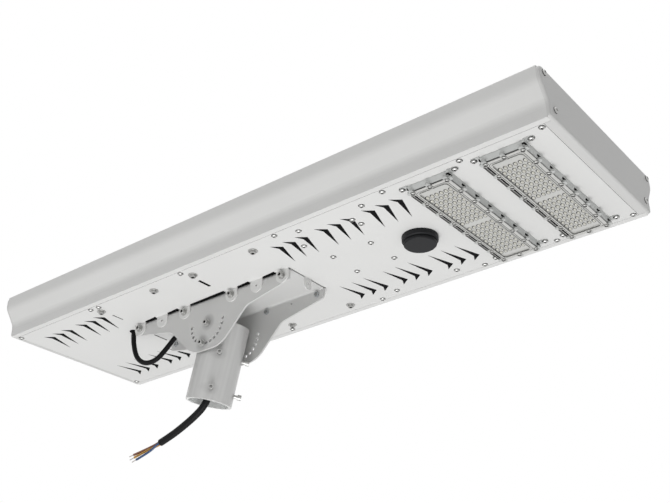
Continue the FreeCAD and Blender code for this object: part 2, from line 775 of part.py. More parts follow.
notch_count = round(float(index_count))
for notch in range(notch_count):
    lean = math.radians(float(index_step) * (notch - (notch_count - 1) / 2))
    across = index_radius * math.sin(lean)
    arm_holes.append(circle(across, -index_radius * math.cos(lean), bolt_hole))
cut(bracket, "XZ", -cheek_out, cheek_out, *arm_holes)
subparts.append(bracket)


# Fasteners, each drawn once with its head below zero and its shank above
def pan_head(name, head_r, rise, shank_r, reach):
    """A screw with a low domed head."""
    return turned(name, [
        (0, -rise), (head_r * 0.62, -rise), (head_r, -rise * 0.35), (head_r, 0),
        (shank_r, 0), (shank_r, reach), (0, reach),
    ])


def socket_head(name, reach):
    """A bolt with a hollow round head on a washer."""
    deep = -washer_rise - bolt_head_rise
    socket = bolt_head * 0.5
    return turned(name, [
        (0, deep + 2.4), (socket, deep + 2.4), (socket, deep), (bolt_head - 0.4, deep),
        (bolt_head, deep + 0.4), (bolt_head, -washer_rise), (washer_radius, -washer_rise),
        (washer_radius, 0), (bolt_shank, 0), (bolt_shank, reach), (0, reach),
    ])


def ring_piece(name, inner, outer, rise):
    """A nut or a spacer standing on zero."""
    return turned(name, [(inner, 0), (outer, 0), (outer, rise), (inner, rise)])


small_shank = shank - 0.05
small_screw = pan_head("small_screw", head_radius, head_rise, small_shank, plate + ledge_wall + 2)
short_screw = pan_head("short_screw", head_radius, head_rise, small_shank, plate + 1.3)
tab_screw = pan_head("tab_screw", head_radius, head_rise, small_shank, plate + 4)
cap_screw = pan_head("cap_screw", head_radius, head_rise, small_shank, cap_depth + 10)
lens_screw = pan_head("lens_screw", lens_head, lens_head_rise, lens_head / 2, 4.5)
beam_bolt = socket_head("beam_bolt", plate + beam_sheet + nut_rise + 1)
tab_bolt = socket_head("tab_bolt", plate + sheet_metal + nut_rise)
tilt_screw = socket_head("tilt_screw", sheet_metal + cheek_in - tube_radius + 3)
bolt_nut = ring_piece("bolt_nut", bolt_shank + 0.05, nut_radius, nut_rise)

subparts.append(group("plate_screws", small_screw, [at(x, y, bottom) for x, y in perimeter_places]))
subparts.append(group("inner_screws", short_screw, [at(x, y, bottom) for x, y in small_places]))
subparts.append(group("beam_bolts", beam_bolt, [at(x, y, bottom) for x, y in beam_places]))
nut_level = plate_in + beam_sheet
subparts.append(group("beam_nuts", bolt_nut, [at(x, y, nut_level) for x, y in beam_places]))
tab_bolt_places = [
    at(x, side * tab_out, bottom - tab_hole, AXIS_X, 90 * side)
    for x in tab_bolts_x for side in (-1, 1)
]
subparts.append(group("bracket_bolts", tab_bolt, tab_bolt_places))
tab_nut_places = [
    at(x, side * cheek_in, bottom - tab_hole, AXIS_X, 90 * side)
    for x in tab_bolts_x for side in (-1, 1)
]
subparts.append(group("bracket_nuts", bolt_nut, tab_nut_places))
cap_screw_places = []
for end, turn in ((front_end, -90), (rear_end, 90)):
    for side in (-1, 1):
        for y, z in port_places(side):
            cap_screw_places.append(at(end, y, z, AXIS_Y, turn))
subparts.append(group("cap_screws", cap_screw, cap_screw_places))


# Lamp modules: housing, board, lamps, gasket and lens
flange_low = bottom - flange
rim = bottom - module_depth
board_top = rim + recess
lens_top = rim - gasket
lens_low = lens_top - lens_flange
window_low = lens_low - lens_dome
half_x = module_width / 2
half_y = module_length / 2
low_half_x = half_x - module_taper
low_half_y = half_y - module_taper
lens_rows = [lens_screw_pitch * (turn - (lens_screw_count - 1) / 2) for turn in range(lens_screw_count)]
lens_end = low_half_y - 3
lens_screw_places = [(side * (low_half_x - 3), y) for side in (-1, 1) for y in lens_rows]
lens_screw_places += [(0, -lens_end), (0, lens_end)]


def upright(x, y):
    """A rectangle round the origin."""
    return rectangle(-x, -y, x, y)


def led_housing():
    """The cast tray of one module."""
    body = new_body("housing_template")
    slope = pad(body, "XY", rim, flange_low, upright(low_half_x, low_half_y))
    slope.TaperAngle = math.degrees(math.atan2(float(module_taper), float(flange_low - rim)))
    doc.recompute()
    pad(body, "XY", flange_low, bottom, upright(half_x, half_y))
    for fore in (-1, 1):
        for side in (-1, 1):
            x = fore * module_screw
            y = side * module_row
            root = fore * (half_x - 1)
            low, high = (root, x) if fore > 0 else (x, root)
            ear = rectangle(low, y - module_tab / 2, high, y + module_tab / 2)
            pad(body, "XY", flange_low, bottom, ear)
            pad(body, "XY", flange_low, bottom, circle(x, y, module_tab / 2))
    pad(body, "XY", bottom, bottom + module_body, upright(half_x - 4.5, half_y - 4.5))
    cut(body, "XY", rim, board_top, upright(low_half_x - 6, low_half_y - 6))
    holes = [
        circle(fore * module_screw, side * module_row, shank + hole_gap)
        for fore in (-1, 1) for side in (-1, 1)
    ]
    cut(body, "XY", flange_low, bottom, *holes)
    notches = [rectangle(y - 4.5, bottom - 5.5, y + 4.5, bottom - 3) for y in lens_rows]
    cut(body, "YZ", half_x - 3, half_x + 1, *notches)
    cut(body, "XY", rim, rim + 2.5, *[circle(x, y, 1.05) for x, y in lens_screw_places])
    return body


def lens():
    """The clear cover with its raised window."""
    body = new_body("lens_template")
    pad(body, "XY", lens_low, lens_top, upright(low_half_x, low_half_y))
    level = (lens_low + lens_top) / 2
    corners = [(fore * low_half_x, side * low_half_y, level) for fore in (-1, 1) for side in (-1, 1)]
    fillet(body, corners, 3)
    x = low_half_x - lens_margin
    y = low_half_y - lens_margin
    pad(body, "XY", window_low, lens_low, upright(x, y))
    level = (lens_low + window_low) / 2
    fillet(body, [(fore * x, side * y, level) for fore in (-1, 1) for side in (-1, 1)], 7)
    fillet(body, [(0, -y, window_low)], 1)
    cut(body, "XY", lens_low, lens_top, *[circle(x, y, 1.05) for x, y in lens_screw_places])
    return body


housing_template = led_housing()
lens_template = lens()
gasket_template = new_body("gasket_template")
gasket_hole = upright(low_half_x - 5, low_half_y - 5)
pad(gasket_template, "XY", lens_top, rim, upright(low_half_x - 0.5, low_half_y - 0.5))
cut(gasket_template, "XY", lens_top, rim, gasket_hole)
cut(gasket_template, "XY", lens_top, rim, *[circle(x, y, 1.05) for x, y in lens_screw_places])
board_low = board_top - board
board_template = new_body("board_template")
pad(board_template, "XY", board_low, board_top, upright(low_half_x - 6.5, low_half_y - 6.5))
cut(board_template, "XY", board_low, board_top, circle(0, 0, 1.6))
lamp_template = block(
    "lamp_template", -led_side / 2, -led_side / 2, board_low - lamp_rise,
    led_side / 2, led_side / 2, board_low,
)
lamp_x = [led_pitch_x * (column - (led_columns - 1) / 2) for column in range(led_columns)]
lamp_y = [led_gap / 2 + led_pitch_y * row for row in range(led_rows)]
lamp_spots = [(x, side * y) for x in lamp_x for y in lamp_y for side in (-1, 1)]

for word, x in zip(("a", "b"), module_x):
    places = [at(x, 0, 0)]
    subparts.append(group(f"led_housing_{word}", housing_template, places))
    subparts.append(group(f"led_board_{word}", board_template, places))
    subparts.append(group(f"lens_gasket_{word}", gasket_template, places))
    subparts.append(group(f"lens_{word}", lens_template, places))
    lamps = [at(x + across, along, 0) for across, along in lamp_spots]
    subparts.append(group(f"led_lamps_{word}", lamp_template, lamps))
lens_places = [at(x + across, y, lens_low) for x in module_x for across, y in lens_screw_places]
subparts.append(group("lens_screws", lens_screw, lens_places))
module_screw_places = [at(x, y, flange_low) for x, y in module_places]
subparts.append(group("module_screws", tab_screw, module_screw_places))


# Motion sensor
base_face = bottom - sensor_base_rise
sensor_base = turned("sensor_base", [
    (0, base_face), (sensor_base_radius - 1.5, base_face), (sensor_base_radius, base_face + 1.5),
    (sensor_base_radius, bottom), (8.6, bottom), (8.6, plate_in + 8), (0, plate_in + 8),
])
cap_face = base_face - sensor_cap_rise
sensor_cap = turned("sensor_cap", [
    (0, cap_face), (sensor_cap_radius - 1.2, cap_face), (sensor_cap_radius, cap_face + 1.2),
    (sensor_cap_radius, base_face - 1), (sensor_cap_radius - 1.5, base_face - 1),
    (sensor_cap_radius - 1.5, base_face), (0, base_face),
])
for piece in (sensor_base, sensor_cap):
    piece.setExpression("Placement.Base.x", sensor_x.text)
subparts += [sensor_base, sensor_cap]


# Parts inside the head

driver = new_body("mains_driver")
foot = plate_in + flat
pad(driver, "XY", plate_in, foot, rectangle(driver_x - driver_long, -34, driver_x + driver_long, 34))
case = rectangle(driver_x - driver_long, -23.5, driver_x + driver_long, 23.5)
pad(driver, "XY", foot, plate_in + driver_rise, case)
cut(driver, "XY", plate_in, foot, *[circle(x, y, shank) for x, y in driver_places])

controller = new_body("charge_controller")
controller_end = controller_x + controller_step
base_plate = rectangle(
    controller_x - 4, controller_y - 33, controller_end + 5.5, controller_y + 21,
)
case = rectangle(controller_x + 5.5, controller_y - 30, controller_end - 9.5, controller_y + 18)
pad(controller, "XY", plate_in, foot, base_plate)
pad(controller, "XY", foot, plate_in + controller_rise, case)
cut(controller, "XY", plate_in, foot, *[circle(x, y, shank) for x, y in controller_places])

tray_in = beam_top + flat
tray = new_body("battery_tray")
pad(tray, "XY", beam_top, tray_in + 14, upright(pack_half_x + 3, pack_half_y + 3))
cut(tray, "XY", tray_in, tray_in + 14, upright(pack_half_x + 1, pack_half_y + 1))
pack_top = tray_in + pack_rise
battery = block(
    "battery_pack", -pack_half_x, -pack_half_y, tray_in, pack_half_x, pack_half_y, pack_top,
)
strap = new_body("strap_template")
strap_in = pack_half_y + 3
strap_out = strap_in + flat
pad(strap, "XZ", -strap_out, strap_out, rectangle(-9, tray_in + 2, 9, pack_top + flat))
cut(strap, "XZ", -strap_in, strap_in, rectangle(-9, tray_in + 2, 9, pack_top))
straps = group("battery_straps", strap, [at(x, 0, 0) for x in (-90, 90)])

junction = new_body("junction_box")
roof = plate_in + junction_rise
outer = rectangle(cable_x - 26, cable_y - 20, cable_x + 8.5, cable_y + 20)
inner = rectangle(cable_x - 24, cable_y - 18, cable_x + 7, cable_y + 18)
pad(junction, "XY", plate_in, roof, outer)
cut(junction, "XY", plate_in, roof - 2, inner)
terminal = block(
    "terminal_strip", cable_x - 22, cable_y - 15, roof - 12, cable_x - 8, cable_y + 15, roof - 2,
)
subparts += [driver, controller, tray, battery, straps, junction, terminal]

sheath = cable / 2
grommet = turned("cable_grommet", [
    (sheath, bottom - 1.4), (sheath + 1.7, bottom - 1.4), (sheath + 2.5, bottom - 0.7),
    (sheath + 2.5, bottom), (sheath + 1.2, bottom), (sheath + 1.2, plate_in),
    (sheath + 2.5, plate_in), (sheath + 2.5, plate_in + 1.2), (sheath, plate_in + 1.2),
])
grommet.setExpression("Placement.Base.x", cable_x.text)
grommet.setExpression("Placement.Base.y", cable_y.text)
subparts.append(grommet)


# Pole socket, drawn upright about Z and then leant back by the tilt
lean_back = Placement(Vector(0, 0, 0), Rotation(AXIS_Y, float(tilt)))
tube = new_body("tube_template")
pad(tube, "XY", -tube_low, tube_top, circle(0, 0, tube_radius))
cut(tube, "XY", -tube_low, tube_top, circle(0, 0, tube_radius - tube_wall))
fillet(tube, [(0, tube_radius, tube_top), (0, tube_radius, -tube_low)], tube_edge)
pins = [circle(0, 0, bolt_shank + 0.05), circle(0, -index_radius, bolt_shank + 0.05)]
cut(tube, "XZ", -tube_radius - 1, tube_radius + 1, *pins)

clamp_levels = (-clamp_first, -clamp_first - clamp_pitch)
clamp_ways = []
for side in (-1, 1):
    angle = math.radians(float(clamp_angle))
    clamp_ways.append(Vector(math.cos(angle), side * math.sin(angle), 0))
drills = []
for level in clamp_levels:
    for way in clamp_ways:
        drill = doc.addObject("Part::Cylinder", "clamp_drill")
        drill.setExpression("Radius", (clamp_shank + 0.05).text)
        drill.setExpression("Height", (tube_radius + 2).text)
        drill.Placement = Placement(Vector(0, 0, 0), Rotation(Vector(0, 0, 1), way))
        drill.setExpression("Placement.Base.z", level.text)
        drills.append(drill)
drilled = doc.addObject("Part::MultiFuse", "clamp_drills")
drilled.Shapes = drills
socket_tube = doc.addObject("Part::Cut", "pole_socket")
socket_tube.Label = "pole_socket"
socket_tube.Base = tube
socket_tube.Tool = drilled
socket_tube.Placement = lean_back
socket_tube.setExpression("Placement.Rotation.Angle", tilt.text)
doc.recompute()
subparts.append(socket_tube)

clamp_screw = turned("clamp_screw", [
    (0, 3 - clamp_head), (2.2, 3 - clamp_head), (2.2, -clamp_head), (bolt_head - 0.4, -clamp_head),
    (bolt_head, 0.4 - clamp_head), (bolt_head, 0), (clamp_shank, 0), (clamp_shank, 10), (0, 10),
])
clamp_places = []
for level in clamp_levels:
    for way in clamp_ways:
        start = way * float(tube_radius + clamp_proud) + Vector(0, 0, float(level))
        place = Placement(start, Rotation(Vector(0, 0, -1), way))
        clamp_places.append(lean_back.multiply(place))
subparts.append(group("clamp_screws", clamp_screw, clamp_places))

for name, level in (("pivot_screws", 0), ("lock_screws", -index_radius)):
    places = [at(0, side * cheek_out, level, AXIS_X, 90 * side) for side in (-1, 1)]
    subparts.append(group(name, tilt_screw, [lean_back.multiply(place) for place in places]))
spacer = ring_piece("spacer", bolt_shank + 0.05, washer_radius, cheek_in - tube_radius - 0.1)
spacer_places = [
    lean_back.multiply(at(0, side * tube_radius, level, AXIS_X, -90 * side))
    for side in (-1, 1) for level in (0, -index_radius)
]
subparts.append(group("tilt_spacers", spacer, spacer_places))


# Cords: straight runs joined by arcs that touch them
def route(name, points):
    """The middle line of a cord through the given corners, with rounded turns."""
    corners = [Vector(*[float(v) for v in point]) for point in points]
    edges = []
    last = corners[0]
    radii = []
    for before, corner, after in zip(corners, corners[1:], corners[2:]):
        way_in = (corner - before).normalize()
        way_out = (after - corner).normalize()
        half = way_in.getAngle(way_out) / 2
        reach = 0.45 * min((corner - before).Length, (after - corner).Length)
        radius = reach / math.tan(half)
        start = corner - way_in * reach
        end = corner + way_out * reach
        inward = (way_out - way_in).normalize()
        middle = corner + inward * (radius / math.cos(half) - radius)
        edges.append(Part.makeLine(last, start))
        edges.append(Part.Arc(start, middle, end).toShape())
        radii.append(round(radius, 1))
        last = end
    edges.append(Part.makeLine(last, corners[-1]))
    print(name, "bend radii", radii)
    return Part.Wire(edges)


def cord(name, points, diameter):
    """A round cord along a route."""
    path = route(name, points)
    radius = float(diameter) / 2
    first = path.Edges[0]
    way = first.tangentAt(first.FirstParameter)
    section = Part.Wire(Part.makeCircle(radius, first.valueAt(first.FirstParameter), way))
    solid = path.makePipeShell([section], True, False)
    expected = math.pi * radius * radius * path.Length
    print(name, "length", round(path.Length, 1), "volume ratio", round(solid.Volume / expected, 4))
    return made(name, solid)


loop_route = [
    (cable_x, cable_y, bottom + 11), (cable_x, cable_y, bottom - 11.5), (cable_x + 5.5, cable_y, 7.5),
    (cable_x + 12, -28.5, -8.5), (cable_x + 24, -26.8, -19.8), (cable_x + 39.5, -24.8, -24),
    (cable_x + 55, -21.8, -19.5), (cable_x + 68, -17.5, -5),
    (-98.5, -13, 14.5), (-80, -9, 26), (-58.5, -6, 29.5), (-37.5, -4.5, 30.5), (-22, -4, 24),
    (-17.5, -3.5, 8), (-19, -3, -7),
]
tail_route = [
    (-19, -3, -7), (-21, -2.3333, -27), (-26, -1.2, -50), (-27.5, 0, -74), (-29, 1, -97),
    (-39, 2, -115.5), (-60, 3.5, -129.5), (-83, 5, -139.5), (-106, 6.3, -147), (-128, 7, -152.3),
]
subparts.append(cord("cable_loop", loop_route, cable))
subparts.append(cord("cable_tail", tail_route, cable))

sheath_end = Vector(*tail_route[-1])
sheath_way = (sheath_end - Vector(*tail_route[-2])).normalize()
core_ring = 1.7
core_routes = {
    "core_brown": (90, [(-164, 10, -158.6), (-179, 12.5, -159.4), (-193, 14, -159.8)]),
    "core_yellow": (330, [(-162, 8.5, -161.5), (-176, 7, -163.6), (-188, 7, -164.6)]),
    "core_blue": (210, [(-159, 4, -162.5), (-171, 1.5, -166), (-182, 1, -168.6)]),
}
upward = sheath_way.cross(AXIS_Y).normalize()
if upward.z < 0:
    upward = upward * -1
strands = []
for name, (angle, rest) in core_routes.items():
    turn = math.radians(angle)
    offset = (AXIS_Y * math.cos(turn) + upward * math.sin(turn)) * core_ring
    start = sheath_end + offset
    points = [tuple(start), tuple(start + sheath_way * 16)] + rest
    subparts.append(cord(name, points, core))
    way = (Vector(*rest[-1]) - Vector(*rest[-2])).normalize()
    strands.append(Part.makeCylinder(float(strand) / 2, 10, Vector(*rest[-1]), way))
subparts.append(made("core_strands", Part.Compound(strands)))

driver_start = driver_x - driver_long
driver_end = driver_x + driver_long
first_body = module_x[0] - half_x + 4.5
first_back = module_x[0] + half_x - 4.5
second_body = module_x[1] - half_x + 4.5
tray_end = pack_half_x + 3
case_start = controller_x + 5.5
lead_span = case_start - tray_end
side_lane = -bolt_row
lead_routes = {
    "battery_lead": [
        (tray_end, controller_y + 9.5, bottom + 33),
        (tray_end + lead_span * 0.2, controller_y + 9.5, bottom + 33),
        (tray_end + lead_span * 0.4, controller_y + 5.5, bottom + 28),
        (tray_end + lead_span * 0.6, controller_y - 2.5, bottom + 21),
        (tray_end + lead_span * 0.8, controller_y - 5.5, bottom + 17.5),
        (case_start, controller_y - 5.5, bottom + 17.5),
    ],
    "lamp_lead": [
        (driver_end, 12, bottom + 21), (driver_end + 15, 12, bottom + 21),
        (driver_end + 35, 16, bottom + 19), (driver_end + 57, 22, bottom + 16),
        (driver_end + 79, 23, bottom + 11), (driver_end + 100, 20, bottom + 7),
        (first_body, 20, bottom + 7),
    ],
    "module_lead": [
        (first_back, 20, bottom + 7), (first_back + 12, 20, bottom + 7),
        ((first_back + second_body) / 2, 20, bottom + 12), (second_body - 12, 20, bottom + 7),
        (second_body, 20, bottom + 7),
    ],
    "supply_lead": [
        (cable_x - 10, cable_y - 20, bottom + 16), (cable_x - 10, side_lane + 46, bottom + 16),
        (cable_x - 4, side_lane + 24, bottom + 19), (cable_x + 12, side_lane + 7, bottom + 23),
        (cable_x + 42, side_lane, bottom + 25), (cable_x + 87, side_lane + 1, bottom + 24),
        (-48, side_lane - 1, bottom + 25), (0, side_lane + 1, bottom + 24),
        (48, side_lane - 1, bottom + 25), (95, side_lane + 1, bottom + 24),
        (driver_start - 86, side_lane + 0.5, bottom + 24), (driver_start - 58, side_lane + 14, bottom + 23),
        (driver_start - 42, side_lane + 38, bottom + 22), (driver_start - 36, side_lane + 66, bottom + 21),
        (driver_start - 30, -24, bottom + 20), (driver_start - 16, -12, bottom + 19),
        (driver_start, -12, bottom + 19),
    ],
}
for name, points in lead_routes.items():
    subparts.append(cord(name, points, lead))


# Check every piece, then write it out
doc.recompute()
for item in doc.Objects:
    if "Invalid" in item.State or "Error" in item.State:
        raise ValueError(f"{item.Name} is not valid: {item.State}")
os.makedirs("parts", exist_ok=True)
for item in subparts:
    shape = item.Shape
    if shape.isNull() or not shape.isValid() or not shape.Solids:
        raise ValueError(f"{item.Label} has no valid solid")
    box = shape.BoundBox
    low = (round(box.XMin, 1), round(box.YMin, 1), round(box.ZMin, 1))
    high = (round(box.XMax, 1), round(box.YMax, 1), round(box.ZMax, 1))
    print(item.Label, len(shape.Solids), round(shape.Volume), low, high)
    shape.exportStep(f"parts/{item.Label}.step")
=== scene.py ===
"""Looks of the LED street light head: finishes, screws, lamp optics, cable, stage and camera."""

import math

import bmesh
import bpy
from bpy.props import FloatProperty, FloatVectorProperty, PointerProperty
from mathutils import Matrix, Vector


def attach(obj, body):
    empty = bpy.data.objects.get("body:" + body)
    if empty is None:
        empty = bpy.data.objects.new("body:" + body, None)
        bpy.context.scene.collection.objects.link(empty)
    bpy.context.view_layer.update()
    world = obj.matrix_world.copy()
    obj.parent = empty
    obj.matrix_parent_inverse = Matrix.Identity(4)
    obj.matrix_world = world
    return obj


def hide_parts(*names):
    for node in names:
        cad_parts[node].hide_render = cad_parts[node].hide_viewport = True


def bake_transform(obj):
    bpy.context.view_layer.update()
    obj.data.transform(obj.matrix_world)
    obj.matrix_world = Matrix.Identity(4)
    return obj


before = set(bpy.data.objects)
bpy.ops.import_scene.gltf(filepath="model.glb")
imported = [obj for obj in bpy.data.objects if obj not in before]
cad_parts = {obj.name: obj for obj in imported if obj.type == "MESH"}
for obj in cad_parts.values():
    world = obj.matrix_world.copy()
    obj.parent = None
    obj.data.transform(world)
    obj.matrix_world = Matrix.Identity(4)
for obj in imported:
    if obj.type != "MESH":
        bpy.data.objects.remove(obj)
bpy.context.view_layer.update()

bl_info = {
    "name": "LED street light head",
    "version": (1, 0, 0),
    "blender": (4, 5, 0),
    "location": "View3D > Sidebar > Street light",
    "description": "Finishes and details of a solar LED street light head",
    "category": "Add Mesh",
}

HEAD = "head"
SOCKET = "socket"
MM = 0.001
TILT = math.radians(15)

# Middle line of the supply cable, in metres
LOOP_ROUTE = [
    (-0.182, -0.0295, 0.052), (-0.182, -0.0295, 0.0295), (-0.1765, -0.0295, 0.0075),
    (-0.170, -0.0285, -0.0085), (-0.158, -0.0268, -0.0198), (-0.1425, -0.0248, -0.024),
    (-0.127, -0.0218, -0.0195), (-0.114, -0.0175, -0.005), (-0.0985, -0.013, 0.0145),
    (-0.080, -0.009, 0.026), (-0.0585, -0.006, 0.0295), (-0.0375, -0.0045, 0.0305),
    (-0.022, -0.004, 0.024), (-0.0175, -0.0035, 0.008), (-0.019, -0.003, -0.007),
]
TAIL_ROUTE = [
    (-0.019, -0.003, -0.007), (-0.021, -0.002333, -0.027), (-0.026, -0.0012, -0.050),
    (-0.0275, 0.0, -0.074), (-0.0297, 0.001, -0.0965), (-0.0413, 0.002, -0.1132),
    (-0.0644, 0.0035, -0.1252), (-0.088, 0.005, -0.1341), (-0.1122, 0.0063, -0.1422),
    (-0.1371, 0.007, -0.1485),
]
# Each core's angle round the end of the tail, its colour and its way from there
CORE_RING = 0.0021
CORE_START = 0.010
CORES = {
    "brown": (90, (0.20, 0.055, 0.015), [
        (-0.1590, 0.0082, -0.1505), (-0.1799, 0.0085, -0.1533), (-0.1995, 0.0085, -0.1556),
    ]),
    "yellow": (330, (0.50, 0.25, 0.02), [
        (-0.1601, 0.0085, -0.1526), (-0.1796, 0.0080, -0.1571), (-0.1962, 0.0075, -0.1608),
    ]),
    "blue": (210, (0.005, 0.045, 0.14), [
        (-0.1538, 0.0052, -0.1571), (-0.1705, 0.0050, -0.1623), (-0.1881, 0.0050, -0.1664),
    ]),
}
STRAND_LENGTH = 0.010
STRAND_RADIUS = 0.00075

# From here to the stage in millimetres. Levels of the bottom plate and ends of the head
BOTTOM = 41.0
FRONT = 640.0
REAR = -360.0
# Levels between which the plate's cut faces, the walls of its holes and its edges, get painted
# shade
SHADED_CUT_LEVELS = (BOTTOM + 0.12, BOTTOM + 1.9)

# Places of screws and bolts
ROW_Y = 128.0
PERIMETER = (-347.9, -173.2, 26.8, 209.4, 392.3, 508.1, 620.5)
LONE_SCREW = (-156.3, -126.6)
INNER_SCREWS = [(x, side * 117.0) for x in (244.0, 351.0) for side in (-1, 1)]
INNER_SCREWS += [(268.0 + fore * 33.3, side * 28.4) for fore in (-1, 1) for side in (-1, 1)]
INNER_SCREWS += [(222.7, -79.5), (322.7, -79.5), (319.7, -95.5)]
BEAMS = (-164.0, -44.5, 38.5, 157.5)
BEAM_Y = 114.0
MODULES = (455.5, 561.5)
MODULE_PITCH = MODULES[1] - MODULES[0]
MODULE_SCREW = (39.3, 117.4)
CAP_SCREWS = ((128.5, 55.7), (147.0, 99.3))

# Screws: radius, rise and sides of a head, radius of its shank, and each kind's length
SCREW = (3.8, 2.2, 18, 1.65)
LENS_SCREW = (2.0, 1.0, 12, 1.0)
LENGTHS = {
    "plate_screws": 6.0, "inner_screws": 3.3, "module_screws": 6.0, "cap_screws": 15.0,
    "lens_screws": 4.5,
}
# Bolts: radius and rise of the head, its recess, its shank and its washers
BOLT_HEAD = 4.25
BOLT_RISE = 5.0
BOLT_KEY = BOLT_HEAD * 0.58
BOLT_SHANK = (2.45, 8.0)
WASHER = 6.0
WASHER_RISE = 1.2
BEAM_WASHER = 7.0
BEAM_RISE = 3.4

# The tilt joint: outer faces of cheeks and tabs, their bolts, and levels along the tube
CHEEK_OUT = 41.3
TAB_OUT = 43.3
TAB_BOLTS = (-151, -50, 50, 151)
TAB_DROP = 9
LOCK_LEVEL = -32.2
CLAMP_LEVELS = (-42.0, -96.5)
CLAMP_OUT = 40.5
CLAMP_SIDE = 25.1
TUBE_INSIDE = 32.6
# A clamp screw's thread: its core, its length once pressed to size, and one turn of it
THREAD_RADIUS = 2.75
THREAD_CORE = 9.0
THREAD_LENGTH = 10.0
THREAD_TURNS = 9
THREAD_GROOVE = 0.12
THREAD_CREST = 0.3
THREAD_WAIST = 0.86
# Places on the cheeks round the pivot and lock bolts where a soft shadow is painted, as X and Z,
# and how far it reaches
BOLT_SHADOW_SPOTS = ((2.0, 1.0), (-8.3, -31.1))
BOLT_SHADOW_REACH = 14.5

# The plate's vents, in rows of three, and the corners of one
VENT_Y = 96.2
VENTS = [
    start + 79.5 * band + 22.2 * turn
    for start, bands in ((REAR + 58, 2), (FRONT - 442.4, 3)) for band in range(bands)
    for turn in range(3)
]
VENT_CORNERS = {
    (1, 1): (0.9, 0.3), (1, -1): (-13.9, -44.3), (-1, -1): (-7.6, -1.2), (-1, 1): (-13.9, 11.2),
}

# Black pieces of painted shade: in slots as X, half width and half length, and beside tabs as X and
# half length
SLOT_SHADE_BOXES = ((32.0, 2.3, 11.8), (-161.0, 0.8, 10.8))
SLOT_SHADE_Y = 83
SLOT_SHADE_LEVELS = (41.5, 42.8)
TAB_GAP_SHADES = ((-125.75, 12), (-75.25, 12), (0, 36.5), (75.25, 12), (125.75, 12))
GAP_SHADE_EDGE = 43.4
GAP_SHADE_WIDTH = 1.7
END_GAP_SHADE = ((-166.2, -3.0, BOTTOM - 0.5), (-164.4, 29.0, BOTTOM + 0.2))

# A lamp module's cover: half sizes and corner radius of each outline, then levels
FLANGE = (28.5, 117, 3)
GROOVE = (24.2, 112.6, 6)
GROOVE_CORE = (23.4, 111.8, 5.4)
RIM = (21.5, 110, 5)
FIELD = (20.4, 108.9, 4.2)
LENS_TOP = 32.4
LENS_LOW = 30.4
FIELD_LEVEL = 31.2
# Lenslets: size, pitches, first row, and the middle and half sizes of the part of one left out of
# its painted shadow
DOME = (5.0, 7.6)
LAMP_PITCH = (6.9, 10.5)
FIRST_LAMP = 9.0
BRIGHT_AT = (0.8, -0.9)
BRIGHT_HALF = (1.9, 2.6)
# Round a cover: screws with their ears, strips and slits between them, clips
EAR_PITCH = 32.6
EAR_X = 25.5
EAR_OUT = 30.0
EAR_END = 118.6
STRIP_OUT = 29.9
SLIT_OUT = 26.6
CLIP_AT = (31.4, 116.5)
# Windows in a module's side wall, painted black as shade: half sizes, how far out they are and
# their level
WINDOW_HALF = (3.2, 4.7, 1.35)
WINDOW_OUT = 30.0
WINDOW_LEVEL = 36.75
LENS_SCREWS = [(side * EAR_X, EAR_PITCH * (turn - 3.5)) for side in (-1, 1) for turn in range(8)]
LENS_SCREWS += [(0.0, -114.0), (0.0, 114.0)]

# The solar panel's cells: the middle of one, their pitches, half sizes and bars
CELL_MIDDLE = (140.0, 69.0)
CELL_PITCH = (61.8, 138.0)
CELL_HALF = (30.1, 68.0)
CELL_CORNER = 93.5
BAR_PITCH = 23.0
FINGER_PITCH = 1.8

# Grain of the paint: noise scale and detail
PEEL = (650.0, 2.0)

# The stage, in metres: camera, floor and soft lights as name, place, target, power and width
CAMERA_PLACE = (1.0325, -1.0521, -0.6531)
CAMERA_WAY = (-0.5392, 0.6946, 0.4762)
CAMERA_DOWN = (-0.2982, 0.3714, -0.8793)
CAMERA_LENS = 55.3
FLOOR_LEVEL = -2.6
FLOOR_SIZE = 120
LIGHTS = (
    ("key", (0.3, -0.55, -2.45), (0.1, 0, 0.05), 60, 2.2),
    ("fill", (-2.4, -2.0, -0.6), (0.0, 0, 0.05), 6, 2.0),
    ("top", (0.6, -0.8, 2.6), (0.1, 0, 0.05), 30, 2.6),
)
SKY = 0.48


def maths(operation, turned=False):
    """A method that adds a maths node, its two values turned round if asked."""

    def method(self, other=0.0):
        first, second = (other, self) if turned else (self, other)
        return self.shader.node("ShaderNodeMath", {"operation": operation}, {0: first, 1: second})

    return method


class Socket:
    """A value in a node tree that can be used in plain arithmetic."""

    def __init__(self, shader, output):
        self.shader = shader
        self.output = output

    __add__ = maths("ADD")
    __radd__ = maths("ADD", turned=True)
    __sub__ = maths("SUBTRACT")
    __rsub__ = maths("SUBTRACT", turned=True)
    __mul__ = maths("MULTIPLY")
    __rmul__ = maths("MULTIPLY", turned=True)
    __truediv__ = maths("DIVIDE")
    __rtruediv__ = maths("DIVIDE", turned=True)
    __lt__ = maths("LESS_THAN")
    __gt__ = maths("GREATER_THAN")
    __abs__ = maths("ABSOLUTE")
    largest = maths("MAXIMUM")
    smallest = maths("MINIMUM")
    wave = maths("SINE")


